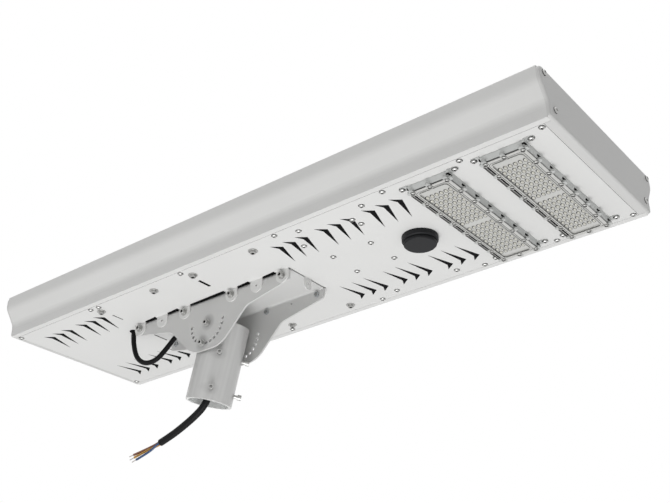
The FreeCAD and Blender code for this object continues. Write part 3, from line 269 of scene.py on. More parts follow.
class NodeTree:
    """Adds nodes to the tree of a material or a world."""

    def __init__(self, owner):
        owner.use_nodes = True
        self.tree = owner.node_tree
        self.tree.nodes.clear()

    def add(self, kind, settings, values):
        """Add a node: its settings first, then the values or links of its sockets."""
        node = self.tree.nodes.new(kind)
        for name, setting in settings.items():
            setattr(node, name, setting)
        for key, value in values.items():
            if isinstance(value, Socket):
                self.tree.links.new(value.output, node.inputs[key])
            else:
                node.inputs[key].default_value = value
        return node

    def node(self, kind, settings, values, output=0):
        """Add a node and give one of its outputs."""
        return Socket(self, self.add(kind, settings, values).outputs[output])

    def mix(self, factor, first, second):
        return self.node(
            "ShaderNodeMix", {"data_type": "RGBA"}, {0: factor, 6: first, 7: second}, 2
        )

    def rays(self, *kinds):
        """One for rays of any of the given kinds, such as those of the camera."""
        path = self.add("ShaderNodeLightPath", {}, {})
        seen = [Socket(self, path.outputs[f"Is {kind} Ray"]) for kind in kinds]
        total = seen[0]
        for one in seen[1:]:
            total = total.largest(one)
        return total


class Shader(NodeTree):
    """Builds one node material around a principled surface."""

    def __init__(self, name):
        self.material = bpy.data.materials.new(name)
        super().__init__(self.material)
        self.place = self.node("ShaderNodeTexCoord", {}, {}, "Object")

    def axes(self, vector=None):
        """The three parts of a vector, or of the object coordinates."""
        split = self.add("ShaderNodeSeparateXYZ", {}, {0: vector or self.place})
        return [Socket(self, output) for output in split.outputs]

    def wrap(self, value, pitch):
        """The value brought into one step of a row, from minus half to plus half a pitch."""
        return self.node(
            "ShaderNodeMath", {"operation": "WRAP"}, {0: value, 1: pitch / 2, 2: -pitch / 2}
        )

    def across_module(self, x):
        """How far a point is from the middle line of its lamp module."""
        return self.wrap(x - MODULES[0] * MM, MODULE_PITCH * MM)

    def noise(self, scale, detail=3.0, stretch=(1, 1, 1), vector=None):
        values = {0: vector or self.place, 1: stretch}
        place = self.node("ShaderNodeVectorMath", {"operation": "MULTIPLY"}, values)
        values = {"Vector": place, "Scale": scale, "Detail": detail}
        return self.node("ShaderNodeTexNoise", {}, values, "Fac")

    def tint(self, factor, color, low, high):
        """A colour that goes from darker to lighter with a factor."""
        return self.mix(factor, shade(color, low), shade(color, high))

    def bump(self, height, strength, distance):
        values = {"Height": height, "Strength": strength, "Distance": distance}
        return self.node("ShaderNodeBump", {}, values, "Normal")

    def surface(self, color, roughness, normal=None, **constants):
        values = {"Base Color": color, "Roughness": roughness}
        if normal:
            values["Normal"] = normal
        values.update({key.replace("_", " "): value for key, value in constants.items()})
        return self.finish(self.node("ShaderNodeBsdfPrincipled", {}, values))

    def finish(self, surface):
        """Send the surface to the material's output."""
        self.add("ShaderNodeOutputMaterial", {}, {"Surface": surface})
        return self.material


def shade(color, factor):
    """A colour made lighter or darker, opaque."""
    return tuple(min(1.0, part * factor) for part in color[:3]) + (1.0,)


def grey(level):
    return (level, level, level, 1.0)


def powder_coat(name, color, roughness=0.42, dark=0.965, shaded_cut_levels=None, bolt_shadows=()):
    """Powder coat: fine orange peel, faint clouds, painted shade on cut faces and painted shadows
    round bolts.
    """
    shader = Shader(name)
    x, y, z = shader.axes()
    grain = shader.noise(*PEEL)
    tone = shader.tint(shader.noise(9.0, 4.0), color, dark, 1.03)
    # Painted shade: faces between the two levels, the cut walls of holes and edges, go black
    if shaded_cut_levels:
        edge = (z > shaded_cut_levels[0] * MM) * (z < shaded_cut_levels[1] * MM)
        tone = shader.mix(edge, tone, grey(0.012))
    # Painted shadow: the coat goes darker round each bolt on the cheeks
    for along, up in bolt_shadows:
        away = (x - along * MM) * (x - along * MM) + (z - up * MM) * (z - up * MM)
        painted_shadow = (1 - (away / (BOLT_SHADOW_REACH * MM) ** 2).smallest(1.0)) * (abs(y) > 0.036)
        tone = shader.mix(painted_shadow * 0.55, tone, shade(color, 0.35))
    normal = shader.bump(grain, 0.12, 0.00025)
    return shader.surface(tone, grain * 0.10 + (roughness - 0.05), normal)


def bare_metal(name, color, roughness, scale=420.0):
    """Plain metal with fine tumbled marks, and painted shade inside a screw's recess."""
    shader = Shader(name)
    marks = shader.noise(scale, 4.0)
    tone = shader.tint(shader.noise(35.0, 3.0), color, 0.86, 1.08)
    # Painted shade: faces marked as a recess go black, as far as they are marked
    recess = shader.node("ShaderNodeAttribute", {"attribute_name": "recess"}, {}, "Fac")
    tone = shader.mix(recess, tone, grey(0.01))
    normal = shader.bump(marks, 0.18, 0.00012)
    return shader.surface(tone, marks * 0.22 + (roughness - 0.1), normal, Metallic=1.0)


def moulded(name, color, roughness, scale=900.0, strength=0.15, gloss=0.5):
    """Moulded plastic or rubber with a fine grain."""
    shader = Shader(name)
    grain = shader.noise(scale, 2.0)
    tone = shader.tint(shader.noise(30.0, 3.0), color, 0.88, 1.1)
    normal = shader.bump(grain, strength, 0.00015)
    return shader.surface(tone, grain * 0.16 + (roughness - 0.08), normal, Specular_IOR_Level=gloss)


def clear_plastic(name, color, roughness):
    """Clear moulded cover with faint flow marks."""
    shader = Shader(name)
    flow = shader.noise(60.0, 3.0)
    normal = shader.bump(flow, 0.06, 0.0003)
    rough = flow * 0.08 + roughness
    return shader.surface(color, rough, normal, Transmission_Weight=1.0, IOR=1.46)


def solar_cells(name):
    """Rows of dark cells with silver bars and fine fingers."""
    shader = Shader(name)
    x, y = shader.axes()[:2]
    column = abs(shader.wrap(x - CELL_MIDDLE[0] * MM, CELL_PITCH[0] * MM))
    row = abs(shader.wrap(y - CELL_MIDDLE[1] * MM, CELL_PITCH[1] * MM))
    gap = (column > CELL_HALF[0] * MM).largest(row > CELL_HALF[1] * MM)
    corner = (column + row) > CELL_CORNER * MM
    bars = abs(shader.wrap(y - BAR_PITCH / 2 * MM, BAR_PITCH * MM)) < 0.0006
    fingers = abs(shader.wrap(x, FINGER_PITCH * MM)) < 0.00016
    crystal = shader.noise(14.0, 2.0)
    cell = shader.mix(crystal, (0.006, 0.010, 0.030, 1), (0.010, 0.018, 0.050, 1))
    cell = shader.mix(fingers * 0.35, cell, (0.25, 0.27, 0.30, 1))
    cell = shader.mix(bars, cell, (0.55, 0.56, 0.58, 1))
    tone = shader.mix(gap.largest(corner), cell, (0.55, 0.57, 0.58, 1))
    return shader.surface(tone, crystal * 0.1 + 0.25)


def cord_sheath(name, color):
    """Rubber sheath with fine rings left by the extruder."""
    shader = Shader(name)
    length = shader.axes(shader.node("ShaderNodeUVMap", {}, {}))[0]
    rings = (length * (2 * math.pi / 0.0007)).wave() * 0.5 + 0.5
    grain = shader.noise(900.0, 2.0)
    normal = shader.bump(rings * 0.4 + grain * 0.6, 0.3, 0.00015)
    tone = shader.tint(grain, color, 0.8, 1.35)
    return shader.surface(tone, grain * 0.15 + 0.36, normal, Specular_IOR_Level=0.10)


def tube_metal(name, color):
    """Painted steel tube with soft streaks along it, whose tones are painted reflections, shallow
    dents at its clamp screws, darkened as painted shade, and an inside painted light.
    """
    shader = Shader(name)
    upright = shader.node(
        "ShaderNodeVectorRotate", {"rotation_type": "Y_AXIS"},
        {"Vector": shader.place, "Angle": -TILT},
    )
    streaks_and_sheen = shader.noise(75.0, 2.0, (1.0, 1.0, 0.04), upright)
    grain = shader.noise(*PEEL)
    x, y, z = shader.axes(upright)
    across = abs(abs(y) - CLAMP_SIDE * MM) + (x < 0.0) * 0.1
    middle = sum(CLAMP_LEVELS) / 2 * MM
    level = abs(abs(z - middle) - (CLAMP_LEVELS[0] * MM - middle))
    dent_and_shade = 1 - ((across * across + level * level) * 9000).smallest(1.0)
    # Painted reflections: the streaks swing the colour from dark to light; they also give real
    # bumps and roughness
    tone = shader.tint(streaks_and_sheen, color, 0.70, 1.22)
    # Painted shade in the dents round the clamp screws
    tone = shader.mix(dent_and_shade * 0.35, tone, shade(color, 0.55))
    # Painted light: the inside of the tube is much lighter, standing in for light that falls into
    # its mouth
    tone = shader.mix((x * x + y * y) < (TUBE_INSIDE * MM) ** 2, tone, (0.86, 0.87, 0.86, 1))
    normal = shader.bump(streaks_and_sheen * 0.5 + grain * 0.08 + dent_and_shade * -1.0, 0.35, 0.001)
    return shader.surface(tone, streaks_and_sheen * 0.12 + 0.26, normal, Metallic=0.25)


def housing_metal(name, color):
    """Die-cast housing of a lamp module, with painted shade where its side windows are."""
    shader = Shader(name)
    x, y, z = shader.axes()
    grain = shader.noise(520.0, 3.0)
    tone = shader.tint(shader.noise(22.0, 3.0), color, 0.9, 1.05)
    depth, width, height = (half * MM for half in WINDOW_HALF)
    between = shader.wrap(y - EAR_PITCH / 2 * MM, EAR_PITCH * MM)
    window_shade = (abs(z - WINDOW_LEVEL * MM) < height) * (abs(between) < width)
    behind = abs(shader.across_module(x) - WINDOW_OUT * MM) < depth
    # Painted shade: the patches where the side windows are go black
    tone = shader.mix(window_shade * behind, tone, grey(0.008))
    return shader.surface(tone, grain * 0.2 + 0.32, shader.bump(grain, 0.2, 0.0002), Metallic=0.35)


def optic_plastic(name, light, paint_shade):
    """Clear moulded optics: cloudy, with the painted shade that the given function adds."""
    shader = Shader(name)
    cloud = shader.noise(160.0, 2.0)
    tone = paint_shade(shader, shader.tint(cloud, light, 0.86, 1.08))
    return shader.surface(tone, cloud * 0.08 + 0.1, Coat_Weight=0.8, Coat_Roughness=0.04)


def cover_paint(shader, tone):
    """Painted shade on the cover: dark in its groove and on the sides of its rim and collars."""
    dark = (0.04, 0.04, 0.038, 1)
    x, y, z = shader.axes()
    # Painted shade: all above the flange's face goes dark, the groove with it; the sunk field is
    # then made light again
    tone = shader.mix(z > (LENS_LOW + 0.3) * MM, tone, dark)
    field = abs(shader.across_module(x)) < (FIELD[0] - 0.1) * MM
    field = field * (abs(y) < (FIELD[1] - 0.1) * MM) * (z > (FIELD_LEVEL - 0.1) * MM)
    tone = shader.mix(field, tone, (0.50, 0.50, 0.48, 1))
    # Painted shade on the sides of the rim and the collars
    shaded_walls = (z > (LENS_LOW - 1) * MM) * (z < (LENS_LOW - 0.05) * MM)
    return shader.mix(shaded_walls * 0.9, tone, dark)


def dome_paint(shader, tone):
    """Each lenslet gets a painted shadow, dark round one side of it."""
    x, y = shader.axes()[:2]
    across, along = (pitch * MM for pitch in LAMP_PITCH)
    beside = shader.wrap(shader.across_module(x) - across / 2, across)
    onward = shader.wrap(abs(y) - FIRST_LAMP * MM, along) * (1 - (y < 0.0) * 2)
    beside = (beside - BRIGHT_AT[0] * MM) / (BRIGHT_HALF[0] * MM)
    onward = (onward - BRIGHT_AT[1] * MM) / (BRIGHT_HALF[1] * MM)
    shadow_crescent = (beside * beside + onward * onward) > 1.0
    return shader.mix(shadow_crescent, tone, (0.07, 0.07, 0.065, 1))


def clear_slots(piece, material):
    piece.data.materials.clear()
    piece.data.materials.append(material)


def dress(material, *names):
    """Give CAD nodes a finish."""
    for name in names:
        clear_slots(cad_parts[name], material)


def settle(piece, material, slot, body, *nodes):
    """Give a finished piece its material and body, and hide what it stands for; the slot is not
    used.
    """
    clear_slots(piece, material)
    if nodes:
        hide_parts(*nodes)
    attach(piece, body)


def rubber(piece):
    """Settle a black piece on the head in the black rubber finish: real rubber details and black
    pieces of painted shade alike.
    """
    settle(piece, bpy.data.materials["rubber_and_shade_black"], "black_rubber", HEAD)


def leave_edit():
    """Close the edit, if one is open, and select nothing."""
    if bpy.context.mode != "OBJECT":
        bpy.ops.object.mode_set(mode="OBJECT")
    bpy.ops.object.select_all(action="DESELECT")


def add_object(name, data):
    made = bpy.data.objects.new(name, data)
    bpy.context.collection.objects.link(made)
    return made


def only(piece):
    """Select one object and make it active."""
    leave_edit()
    piece.select_set(True)
    bpy.context.view_layer.objects.active = piece


def open_edit(piece):
    only(piece)
    bpy.ops.object.mode_set(mode="EDIT")


def start_on(name, size=(1, 1, 1)):
    """Size and name the new primitive and open it for editing."""
    piece = bpy.context.active_object
    piece.scale = size
    bpy.ops.object.transform_apply(location=True, scale=True)
    piece.name = name
    piece.data.name = name
    open_edit(piece)
    return piece


def deselect_mesh(mesh):
    """Close the edit and leave nothing of the mesh selected."""
    bpy.ops.object.mode_set(mode="OBJECT")
    for part in (*mesh.vertices, *mesh.edges, *mesh.polygons):
        part.select = False


def select_faces(piece, test):
    """Select, in edit mode, the faces whose normal passes a test."""
    deselect_mesh(piece.data)
    for face in piece.data.polygons:
        face.select = test(face.normal)
    bpy.ops.object.mode_set(mode="EDIT")
    bpy.ops.mesh.select_mode(type="FACE")


def facing_down(normal):
    return normal.z < -0.9


def facing_up(normal):
    return normal.z > 0.9


def inset(width, **settings):
    bpy.ops.mesh.inset(thickness=width * MM, **settings)


def extrude(rise, scale=1.0):
    """Extrude the selected faces along Z, in millimetres, and resize the new ones."""
    bpy.ops.mesh.extrude_region_move(TRANSFORM_OT_translate={"value": (0, 0, rise * MM)})
    if scale != 1.0:
        bpy.ops.transform.resize(value=(scale, scale, 1))


def smooth(piece, angle):
    only(piece)
    bpy.ops.object.shade_smooth_by_angle(angle=math.radians(angle))


def finish_edit(piece, angle=30):
    """Tidy the mesh, close the edit and leave the piece at the origin."""
    open_edit(piece)
    bpy.ops.mesh.select_all(action="SELECT")
    bpy.ops.mesh.remove_doubles(threshold=0.000005)
    bpy.ops.mesh.normals_make_consistent(inside=False)
    only(piece)
    bpy.ops.object.transform_apply(location=True, rotation=True, scale=True)
    smooth(piece, angle)
    return piece


def dish(piece, rim, rise):
    """Raise or lower the middle of a piece's under side inside a rim, and finish the piece."""
    select_faces(piece, facing_down)
    inset(rim)
    extrude(rise)
    return finish_edit(piece)


def cylinder(name, radius, low, high, sides):
    """A round primitive between two levels, in millimetres, ready to be shaped."""
    leave_edit()
    bpy.ops.mesh.primitive_cylinder_add(
        vertices=sides, radius=radius * MM, depth=(high - low) * MM,
        location=(0, 0, (low + high) / 2 * MM),
    )
    return start_on(name)


def box(name, low, high):
    """A box primitive between two corners, in millimetres, ready to be shaped."""
    leave_edit()
    middle = [(a + b) / 2 * MM for a, b in zip(low, high)]
    bpy.ops.mesh.primitive_cube_add(size=1, location=middle)
    return start_on(name, [(b - a) * MM for a, b in zip(low, high)])


def plane(name, width, length, level=0.0):
    """A flat rectangle about the Z axis, in millimetres, ready to be shaped."""
    leave_edit()
    bpy.ops.mesh.primitive_plane_add(size=1, location=(0, 0, level * MM))
    return start_on(name, (width * MM, length * MM, 1))


def round_corners(radius, segments):
    """Round the corners of a plane in edit mode and leave all of it selected."""
    bpy.ops.mesh.select_all(action="SELECT")
    bpy.ops.mesh.bevel(offset=radius * MM, segments=segments, affect="VERTICES")
    bpy.ops.mesh.select_all(action="SELECT")


def rounded_block(name, outline, low, high):
    """A flat block, its outline as half sizes and corner radius, in millimetres."""
    half_x, half_y, radius = outline
    piece = plane(name, 2 * half_x, 2 * half_y, low)
    round_corners(radius, 5)
    extrude(high - low)
    return finish_edit(piece)


def modify(piece, kind, **settings):
    """Apply a modifier with the given settings."""
    only(piece)
    modifier = piece.modifiers.new(kind, kind)
    for name, setting in settings.items():
        setattr(modifier, name, setting)
    bpy.ops.object.modifier_apply(modifier=modifier.name)


def carve(piece, cutter):
    """Take a cutter's shape out of a piece."""
    modify(piece, "BOOLEAN", operation="DIFFERENCE", solver="EXACT", use_self=True, object=cutter)
    bpy.data.objects.remove(cutter)


def soften(piece, width, segments=2):
    """Round a piece's sharp edges with a bevel."""
    modify(
        piece, "BEVEL", width=width * MM, segments=segments, limit_method="ANGLE",
        angle_limit=math.radians(40),
    )


def join(pieces, name):
    """Make one piece of several."""
    leave_edit()
    for piece in pieces:
        piece.select_set(True)
    bpy.context.view_layer.objects.active = pieces[0]
    bpy.ops.object.join()
    joined = bpy.context.active_object
    joined.name = name
    joined.data.name = name
    return joined


def spot(x, y, z, axis=None, degrees=0.0):
    """A place for a copy, in millimetres, turned about an axis first."""
    turn = Matrix.Rotation(math.radians(degrees), 4, axis) if axis else Matrix()
    return Matrix.Translation((x * MM, y * MM, z * MM)) @ turn


def copies(template, name, places):
    """Copy a template to each place, each copy with its own mesh, as one piece."""
    made = []
    for place in places:
        copy = template.copy()
        copy.data = template.data.copy()
        copy.data.transform(place)
        bpy.context.collection.objects.link(copy)
        made.append(copy)
    return join(made, name)


def steel_heads(template, name, places, body, node):
    """Put copies of a screw in its places, for the screws of one CAD node."""
    steel = bpy.data.materials["fastener_steel"]
    settle(copies(template, name, places), steel, "screw_steel", body, node)


def spline_points(route):
    """Points along the smooth line that has the route as its control points."""
    curve = bpy.data.curves.new("route", "CURVE")
    curve.dimensions = "3D"
    curve.resolution_u = 12
    spline = curve.splines.new("NURBS")
    spline.points.add(len(route) - 1)
    for point, place in zip(spline.points, route):
        point.co = (*place, 1)
    spline.order_u = 3
    spline.use_endpoint_u = True
    line = add_object("route", curve)
    bpy.context.view_layer.update()
    shape = line.evaluated_get(bpy.context.evaluated_depsgraph_get())
    mesh = bpy.data.meshes.new_from_object(shape)
    points = [vertex.co.copy() for vertex in mesh.vertices]
    bpy.data.objects.remove(line)
    bpy.data.meshes.remove(mesh)
    bpy.data.curves.remove(curve)
    return points


def tube_mesh(name, points, radius, sides=20):
    """A closed tube along the points, with a map that runs along it in metres."""
    mesh = bmesh.new()
    uv = mesh.loops.layers.uv.new("UVMap")
    rings = []
    way = (points[1] - points[0]).normalized()
    side = way.orthogonal().normalized()
    travelled = [0.0]
    for first, second in zip(points, points[1:]):
        travelled.append(travelled[-1] + (second - first).length)
    for index, point in enumerate(points):
        before = points[max(index - 1, 0)]
        after = points[min(index + 1, len(points) - 1)]
        turned_way = (after - before).normalized()
        side = way.rotation_difference(turned_way) @ side
        way = turned_way
        other = way.cross(side).normalized()
        ring = []
        for corner in range(sides):
            angle = 2 * math.pi * corner / sides
            outward = side * math.cos(angle) + other * math.sin(angle)
            ring.append(mesh.verts.new(point + outward * radius))
        rings.append(ring)
    for index, (ring, following) in enumerate(zip(rings, rings[1:])):
        here, there = travelled[index:index + 2]
        for corner in range(sides):
            onward = (corner + 1) % sides
            edge = (ring[corner], ring[onward], following[onward], following[corner])
            low, high = corner / sides, (corner + 1) / sides
            places = ((here, low), (here, high), (there, high), (there, low))
            for loop, place in zip(mesh.faces.new(edge).loops, places):
                loop[uv].uv = place
    mesh.faces.new(list(reversed(rings[0])))
    mesh.faces.new(rings[-1])
    bmesh.ops.recalc_face_normals(mesh, faces=mesh.faces)
    data = bpy.data.meshes.new(name)
    mesh.to_mesh(data)
    mesh.free()
    piece = add_object(name, data)
    smooth(piece, 50)
    return piece


class StreetLightSettings(bpy.types.PropertyGroup):
    """Sizes and colours of the street light head's finishes."""

    loop_width: FloatProperty(
        name="Loop", description="Diameter of the cable's loop", default=0.0080, unit="LENGTH",
    )
    tail_width: FloatProperty(
        name="Tail", description="Diameter of the cable's tail", default=0.0112, unit="LENGTH",
    )
    core_width: FloatProperty(
        name="Core", description="Diameter of one insulated core", default=0.0036, unit="LENGTH",
    )
    coat: FloatVectorProperty(
        name="Coat", description="Powder coat of the plate", default=(0.685, 0.685, 0.675),
        subtype="COLOR", size=3,
    )
    rail_coat: FloatVectorProperty(
        name="Rail coat", description="Powder coat of the side rails", default=(0.67, 0.67, 0.66),
        subtype="COLOR", size=3,
    )
    socket_coat: FloatVectorProperty(
        name="Socket coat", description="Powder coat of the bracket and the socket",
        default=(0.575, 0.575, 0.567), subtype="COLOR", size=3,
    )
    steel: FloatVectorProperty(
        name="Steel", description="Colour of screws and bolts", default=(0.46, 0.46, 0.45),
        subtype="COLOR", size=3,
    )


class STREETLIGHT_OT_finishes(bpy.types.Operator):
    """Give the metal, plastic and glass parts of the model their finishes"""

    bl_idname = "streetlight.finishes"
    bl_label = "Finishes"

    def execute(self, context):
        settings = context.scene.street_light
        dress(powder_coat("rail_coat", settings.rail_coat), "side_rail_near", "side_rail_far")
        # Painted shade: the end caps get a darker copy of the rail coat
        dress(powder_coat("shaded_cap_coat", shade(settings.rail_coat, 0.87)), "front_cap", "rear_cap")
        plate = powder_coat("plate_coat", settings.coat, 0.5, shaded_cut_levels=SHADED_CUT_LEVELS)
        dress(plate, "bottom_plate")
        bracket = powder_coat("bracket_coat", settings.socket_coat, dark=0.95, bolt_shadows=BOLT_SHADOW_SPOTS)
        dress(bracket, "bracket")
        dress(tube_metal("socket_coat", settings.socket_coat), "pole_socket")
        steel = bare_metal("fastener_steel", settings.steel, 0.30)
        dress(
            steel, "plate_screws", "inner_screws", "cap_screws", "module_screws", "lens_screws",
            "beam_bolts", "bracket_bolts", "clamp_screws", "pivot_screws", "lock_screws",
        )
        galvanised = bare_metal("zinc_coat", (0.50, 0.52, 0.53), 0.45, scale=90.0)
        dress(
            galvanised, "cross_beams", "panel_posts", "battery_straps", "battery_tray",
            "beam_nuts", "bracket_nuts", "tilt_spacers",
        )
        dress(housing_metal("module_cast", (0.52, 0.53, 0.52)), "led_housing_a", "led_housing_b")
        dress(moulded("board_lacquer", (0.80, 0.80, 0.77), 0.45), "led_board_a", "led_board_b")
        dress(moulded("lamp_phosphor", (0.80, 0.66, 0.30), 0.35), "led_lamps_a", "led_lamps_b")
        dress(clear_plastic("lens_plastic", (0.94, 0.95, 0.95, 1), 0.03), "lens_a", "lens_b")
        black = moulded("rubber_and_shade_black", (0.008, 0.008, 0.0085), 0.8, gloss=0.03)
        dress(black, "lens_gasket_a", "lens_gasket_b", "cable_grommet")
        sensor = moulded("sensor_black", (0.013, 0.0135, 0.015), 0.5, gloss=0.15)
        dress(sensor, "sensor_base", "sensor_cap")
        dress(solar_cells("cell_rows"), "panel_cells")
        dress(clear_plastic("panel_pane", (0.90, 0.93, 0.93, 1), 0.02), "panel_glass")
        dress(moulded("panel_back", (0.006, 0.006, 0.006), 0.7), "panel_backing")
        dress(moulded("battery_film", (0.03, 0.10, 0.30), 0.3), "battery_pack")
        dress(bare_metal("driver_shell", (0.62, 0.62, 0.62), 0.4), "mains_driver")
        dress(
            moulded("box_plastic", (0.62, 0.62, 0.58), 0.5),
            "charge_controller", "junction_box", "terminal_strip",
        )
        dress(
            moulded("lead_black", (0.02, 0.02, 0.02), 0.4),
            "battery_lead", "lamp_lead", "module_lead", "supply_lead",
        )
        return {"FINISHED"}


class STREETLIGHT_OT_cable(bpy.types.Operator):
    """Lay the supply cable, its loop, its tail and its three cores"""

    bl_idname = "streetlight.cable"
    bl_label = "Supply cable"

    def execute(self, context):
        settings = context.scene.street_light
        sheath = cord_sheath("cable_sheath", (0.007, 0.007, 0.0075))
        loop_line = spline_points(LOOP_ROUTE)
        loop = tube_mesh("supply_loop", loop_line, settings.loop_width / 2)
        tail_line = spline_points(TAIL_ROUTE)
        tail = tube_mesh("supply_tail", tail_line, settings.tail_width / 2)
        for piece in (loop, tail):
            clear_slots(piece, sheath)
        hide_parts("cable_loop")
        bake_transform(loop)
        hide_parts("cable_tail")
        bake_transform(tail)
        copper = bare_metal("strand_copper", (0.40, 0.37, 0.35), 0.3)
        end = Vector(TAIL_ROUTE[-1])
        way = (end - Vector(TAIL_ROUTE[-2])).normalized()
        upward = way.cross(Vector((0, 1, 0))).normalized()
        if upward.z < 0:
            upward = -upward
        for name, (degrees, color, rest) in CORES.items():
            turn = math.radians(degrees)
            offset = (Vector((0, 1, 0)) * math.cos(turn) + upward * math.sin(turn)) * CORE_RING
            start = end + offset
            line = spline_points([start, start + way * CORE_START] + rest)
            core = tube_mesh(f"lead_{name}", line, settings.core_width / 2, 14)
            clear_slots(core, moulded(f"{name}_sleeve", color, 0.32, 1500.0, 0.05))
            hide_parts(f"core_{name}")
            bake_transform(core)
            out = (line[-1] - line[-2]).normalized()
            ends = [line[-1], line[-1] + out * STRAND_LENGTH]
            strands = tube_mesh(f"strands_{name}", ends, STRAND_RADIUS, 10)
            clear_slots(strands, copper)
            if name == "brown":
                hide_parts("core_strands")
            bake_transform(strands)
        return {"FINISHED"}


def mark_recess_shade(piece, top, floor, reach, depth=1.0):
    """Mark the painted shade of the faces inside a screw's recess, between two levels: how dark
    they go.
    """
    mark = piece.data.attributes.new("recess", "FLOAT", "FACE")
    for face in piece.data.polygons:
        inside = math.hypot(face.center.x, face.center.y) < reach * MM
        deep = (top + 0.05) * MM < face.center.z < (floor + 0.05) * MM
        mark.data[face.index].value = depth * float(inside and deep)


def shank(head, radius, length, sides):
    """Put a screw's shank, with a pointed end, above its seat."""
    piece = cylinder("shank", radius, 0, length - radius, sides)
    select_faces(piece, facing_up)
    extrude(radius, 0.5)
    return join([head, piece], head.name)


def cross_screw(name, radius, rise, sides):
    """A low domed head with a cross recess, its seat at zero and its top below."""
    head = cylinder(name, radius, -rise * 0.35, 0, sides)
    select_faces(head, facing_down)
    extrude(-rise * 0.4, 0.86)
    extrude(-rise * 0.25, 0.72)
    reach = radius * 0.56
    half = radius * 0.14
    depth = -rise * 0.4
    arms = [
        box("arm", (-x, -y, -rise - 1), (x, y, depth)) for x, y in ((reach, half), (half, reach))
    ]
    carve(head, join(arms, "cross"))
    finish_edit(head)
    mark_recess_shade(head, -rise, depth, reach)
    return head


def socket_bolt(name, washer=WASHER, height=BOLT_RISE):
    """A round bolt head with a six-sided recess, on its washer if it has one."""
    seat = -WASHER_RISE if washer else 0.0
    top = seat - height
    head = cylinder(name, BOLT_HEAD, top, seat, 28)
    select_faces(head, facing_down)
    bpy.ops.mesh.bevel(offset=0.4 * MM, segments=2, affect="EDGES")
    floor = seat - height * 0.48
    carve(head, cylinder("key", BOLT_KEY, top - 1, floor, 6))
    parts = [head]
    if washer:
        parts.append(cylinder("washer", washer, -WASHER_RISE, 0, 32))
        soften(parts[-1], 0.25)
    bolt = finish_edit(join(parts, name))
    mark_recess_shade(bolt, top, floor, BOLT_KEY, 0.9 if washer else 0.45)
    return bolt


class STREETLIGHT_OT_screws(bpy.types.Operator):
    """Make the domed screws of the plate, the caps, the modules and the lenses"""

    bl_idname = "streetlight.screws"
    bl_label = "Screws"

    def execute(self, context):
        rows = {
            "plate_screws": [spot(x, side * ROW_Y, BOTTOM) for x in PERIMETER for side in (-1, 1)]
            + [spot(*LONE_SCREW, BOTTOM)],
            "inner_screws": [spot(x, y, BOTTOM) for x, y in INNER_SCREWS],
            "module_screws": [
                spot(x + fore * MODULE_SCREW[0], side * MODULE_SCREW[1], BOTTOM - 1.5)
                for x in MODULES for fore in (-1, 1) for side in (-1, 1)
            ],
            "cap_screws": [
                spot(end, side * y, z, "Y", turn)
                for end, turn in ((FRONT, -90), (REAR, 90))
                for side in (-1, 1) for y, z in CAP_SCREWS
            ],
            "lens_screws": [
                spot(x + across, y, LENS_LOW) for x in MODULES for across, y in LENS_SCREWS
            ],
        }
        for node, places in rows.items():
            *head, radius = LENS_SCREW if node == "lens_screws" else SCREW
            screw = shank(cross_screw("screw", *head), radius, LENGTHS[node], 10)
            steel_heads(screw, node.replace("screws", "heads"), places, HEAD, node)
            bpy.data.objects.remove(screw)
        # Black rings of painted shade round the screw heads
        ring = self.ring()
        places = sum((places for node, places in rows.items() if node != "lens_screws"), [])
        rubber(copies(ring, "screw_shade_rings", places))
        bpy.data.objects.remove(ring)
        return {"FINISHED"}

    @staticmethod
    def ring():
        """A thin black ring under a screw's head, raised a little at its rim: painted contact shade
        round the head.
        """
        return dish(cylinder("ring", SCREW[0] + 0.55, -0.35, 0, 18), 0.3, 0.1)


class STREETLIGHT_OT_bolts(bpy.types.Operator):
    """Make the socket bolts of the beams, the bracket and the tilt"""

    bl_idname = "streetlight.bolts"
    bl_label = "Bolts"

    def execute(self, context):
        low = shank(socket_bolt("low_bolt", BEAM_WASHER, BEAM_RISE), *BOLT_SHANK, 14)
        beam = [spot(x, side * BEAM_Y, BOTTOM) for x in BEAMS for side in (-1, 1)]
        steel_heads(low, "beam_bolt_heads", beam, HEAD, "beam_bolts")
        bpy.data.objects.remove(low)
        bolt = shank(socket_bolt("bolt"), *BOLT_SHANK, 14)
        tabs = [
            spot(x, side * TAB_OUT, BOTTOM - TAB_DROP, "X", 90 * side)
            for x in TAB_BOLTS for side in (-1, 1)
        ]
        steel_heads(bolt, "tab_bolt_heads", tabs, HEAD, "bracket_bolts")
        lean = Matrix.Rotation(TILT, 4, "Y")
        for node, level in (("pivot_screws", 0), ("lock_screws", LOCK_LEVEL)):
            places = [lean @ spot(0, side * CHEEK_OUT, level, "X", 90 * side) for side in (-1, 1)]
            steel_heads(bolt, node.replace("screws", "heads"), places, SOCKET, node)
        bpy.data.objects.remove(bolt)
        clamp = self.clamp_screw()
        places = []
        for level in CLAMP_LEVELS:
            for turn in (-45, 45):
                place = spot(CLAMP_OUT, 0, level, "Y", -90)
                places.append(lean @ (Matrix.Rotation(math.radians(turn), 4, "Z") @ place))
        steel_heads(clamp, "clamp_heads", places, SOCKET, "clamp_screws")
        bpy.data.objects.remove(clamp)
        return {"FINISHED"}

    @staticmethod
    def clamp_screw():
        """A socket screw with its threads showing below the head."""
        head = socket_bolt("clamp", None)
        head.data.transform(Matrix.Scale(1.2, 4, (0, 0, 1)))
        thread = cylinder("thread", THREAD_RADIUS, 0, THREAD_CORE, 16)
        for _ in range(THREAD_TURNS):
            select_faces(thread, facing_up)
            extrude(THREAD_GROOVE, THREAD_WAIST)
            extrude(THREAD_CREST, 1 / THREAD_WAIST)
        leave_edit()
        cut_length = THREAD_CORE + THREAD_TURNS * (THREAD_GROOVE + THREAD_CREST)
        thread.data.transform(Matrix.Scale(THREAD_LENGTH / cut_length, 4, (0, 0, 1)))
        return finish_edit(join([head, thread], "clamp_screw"))


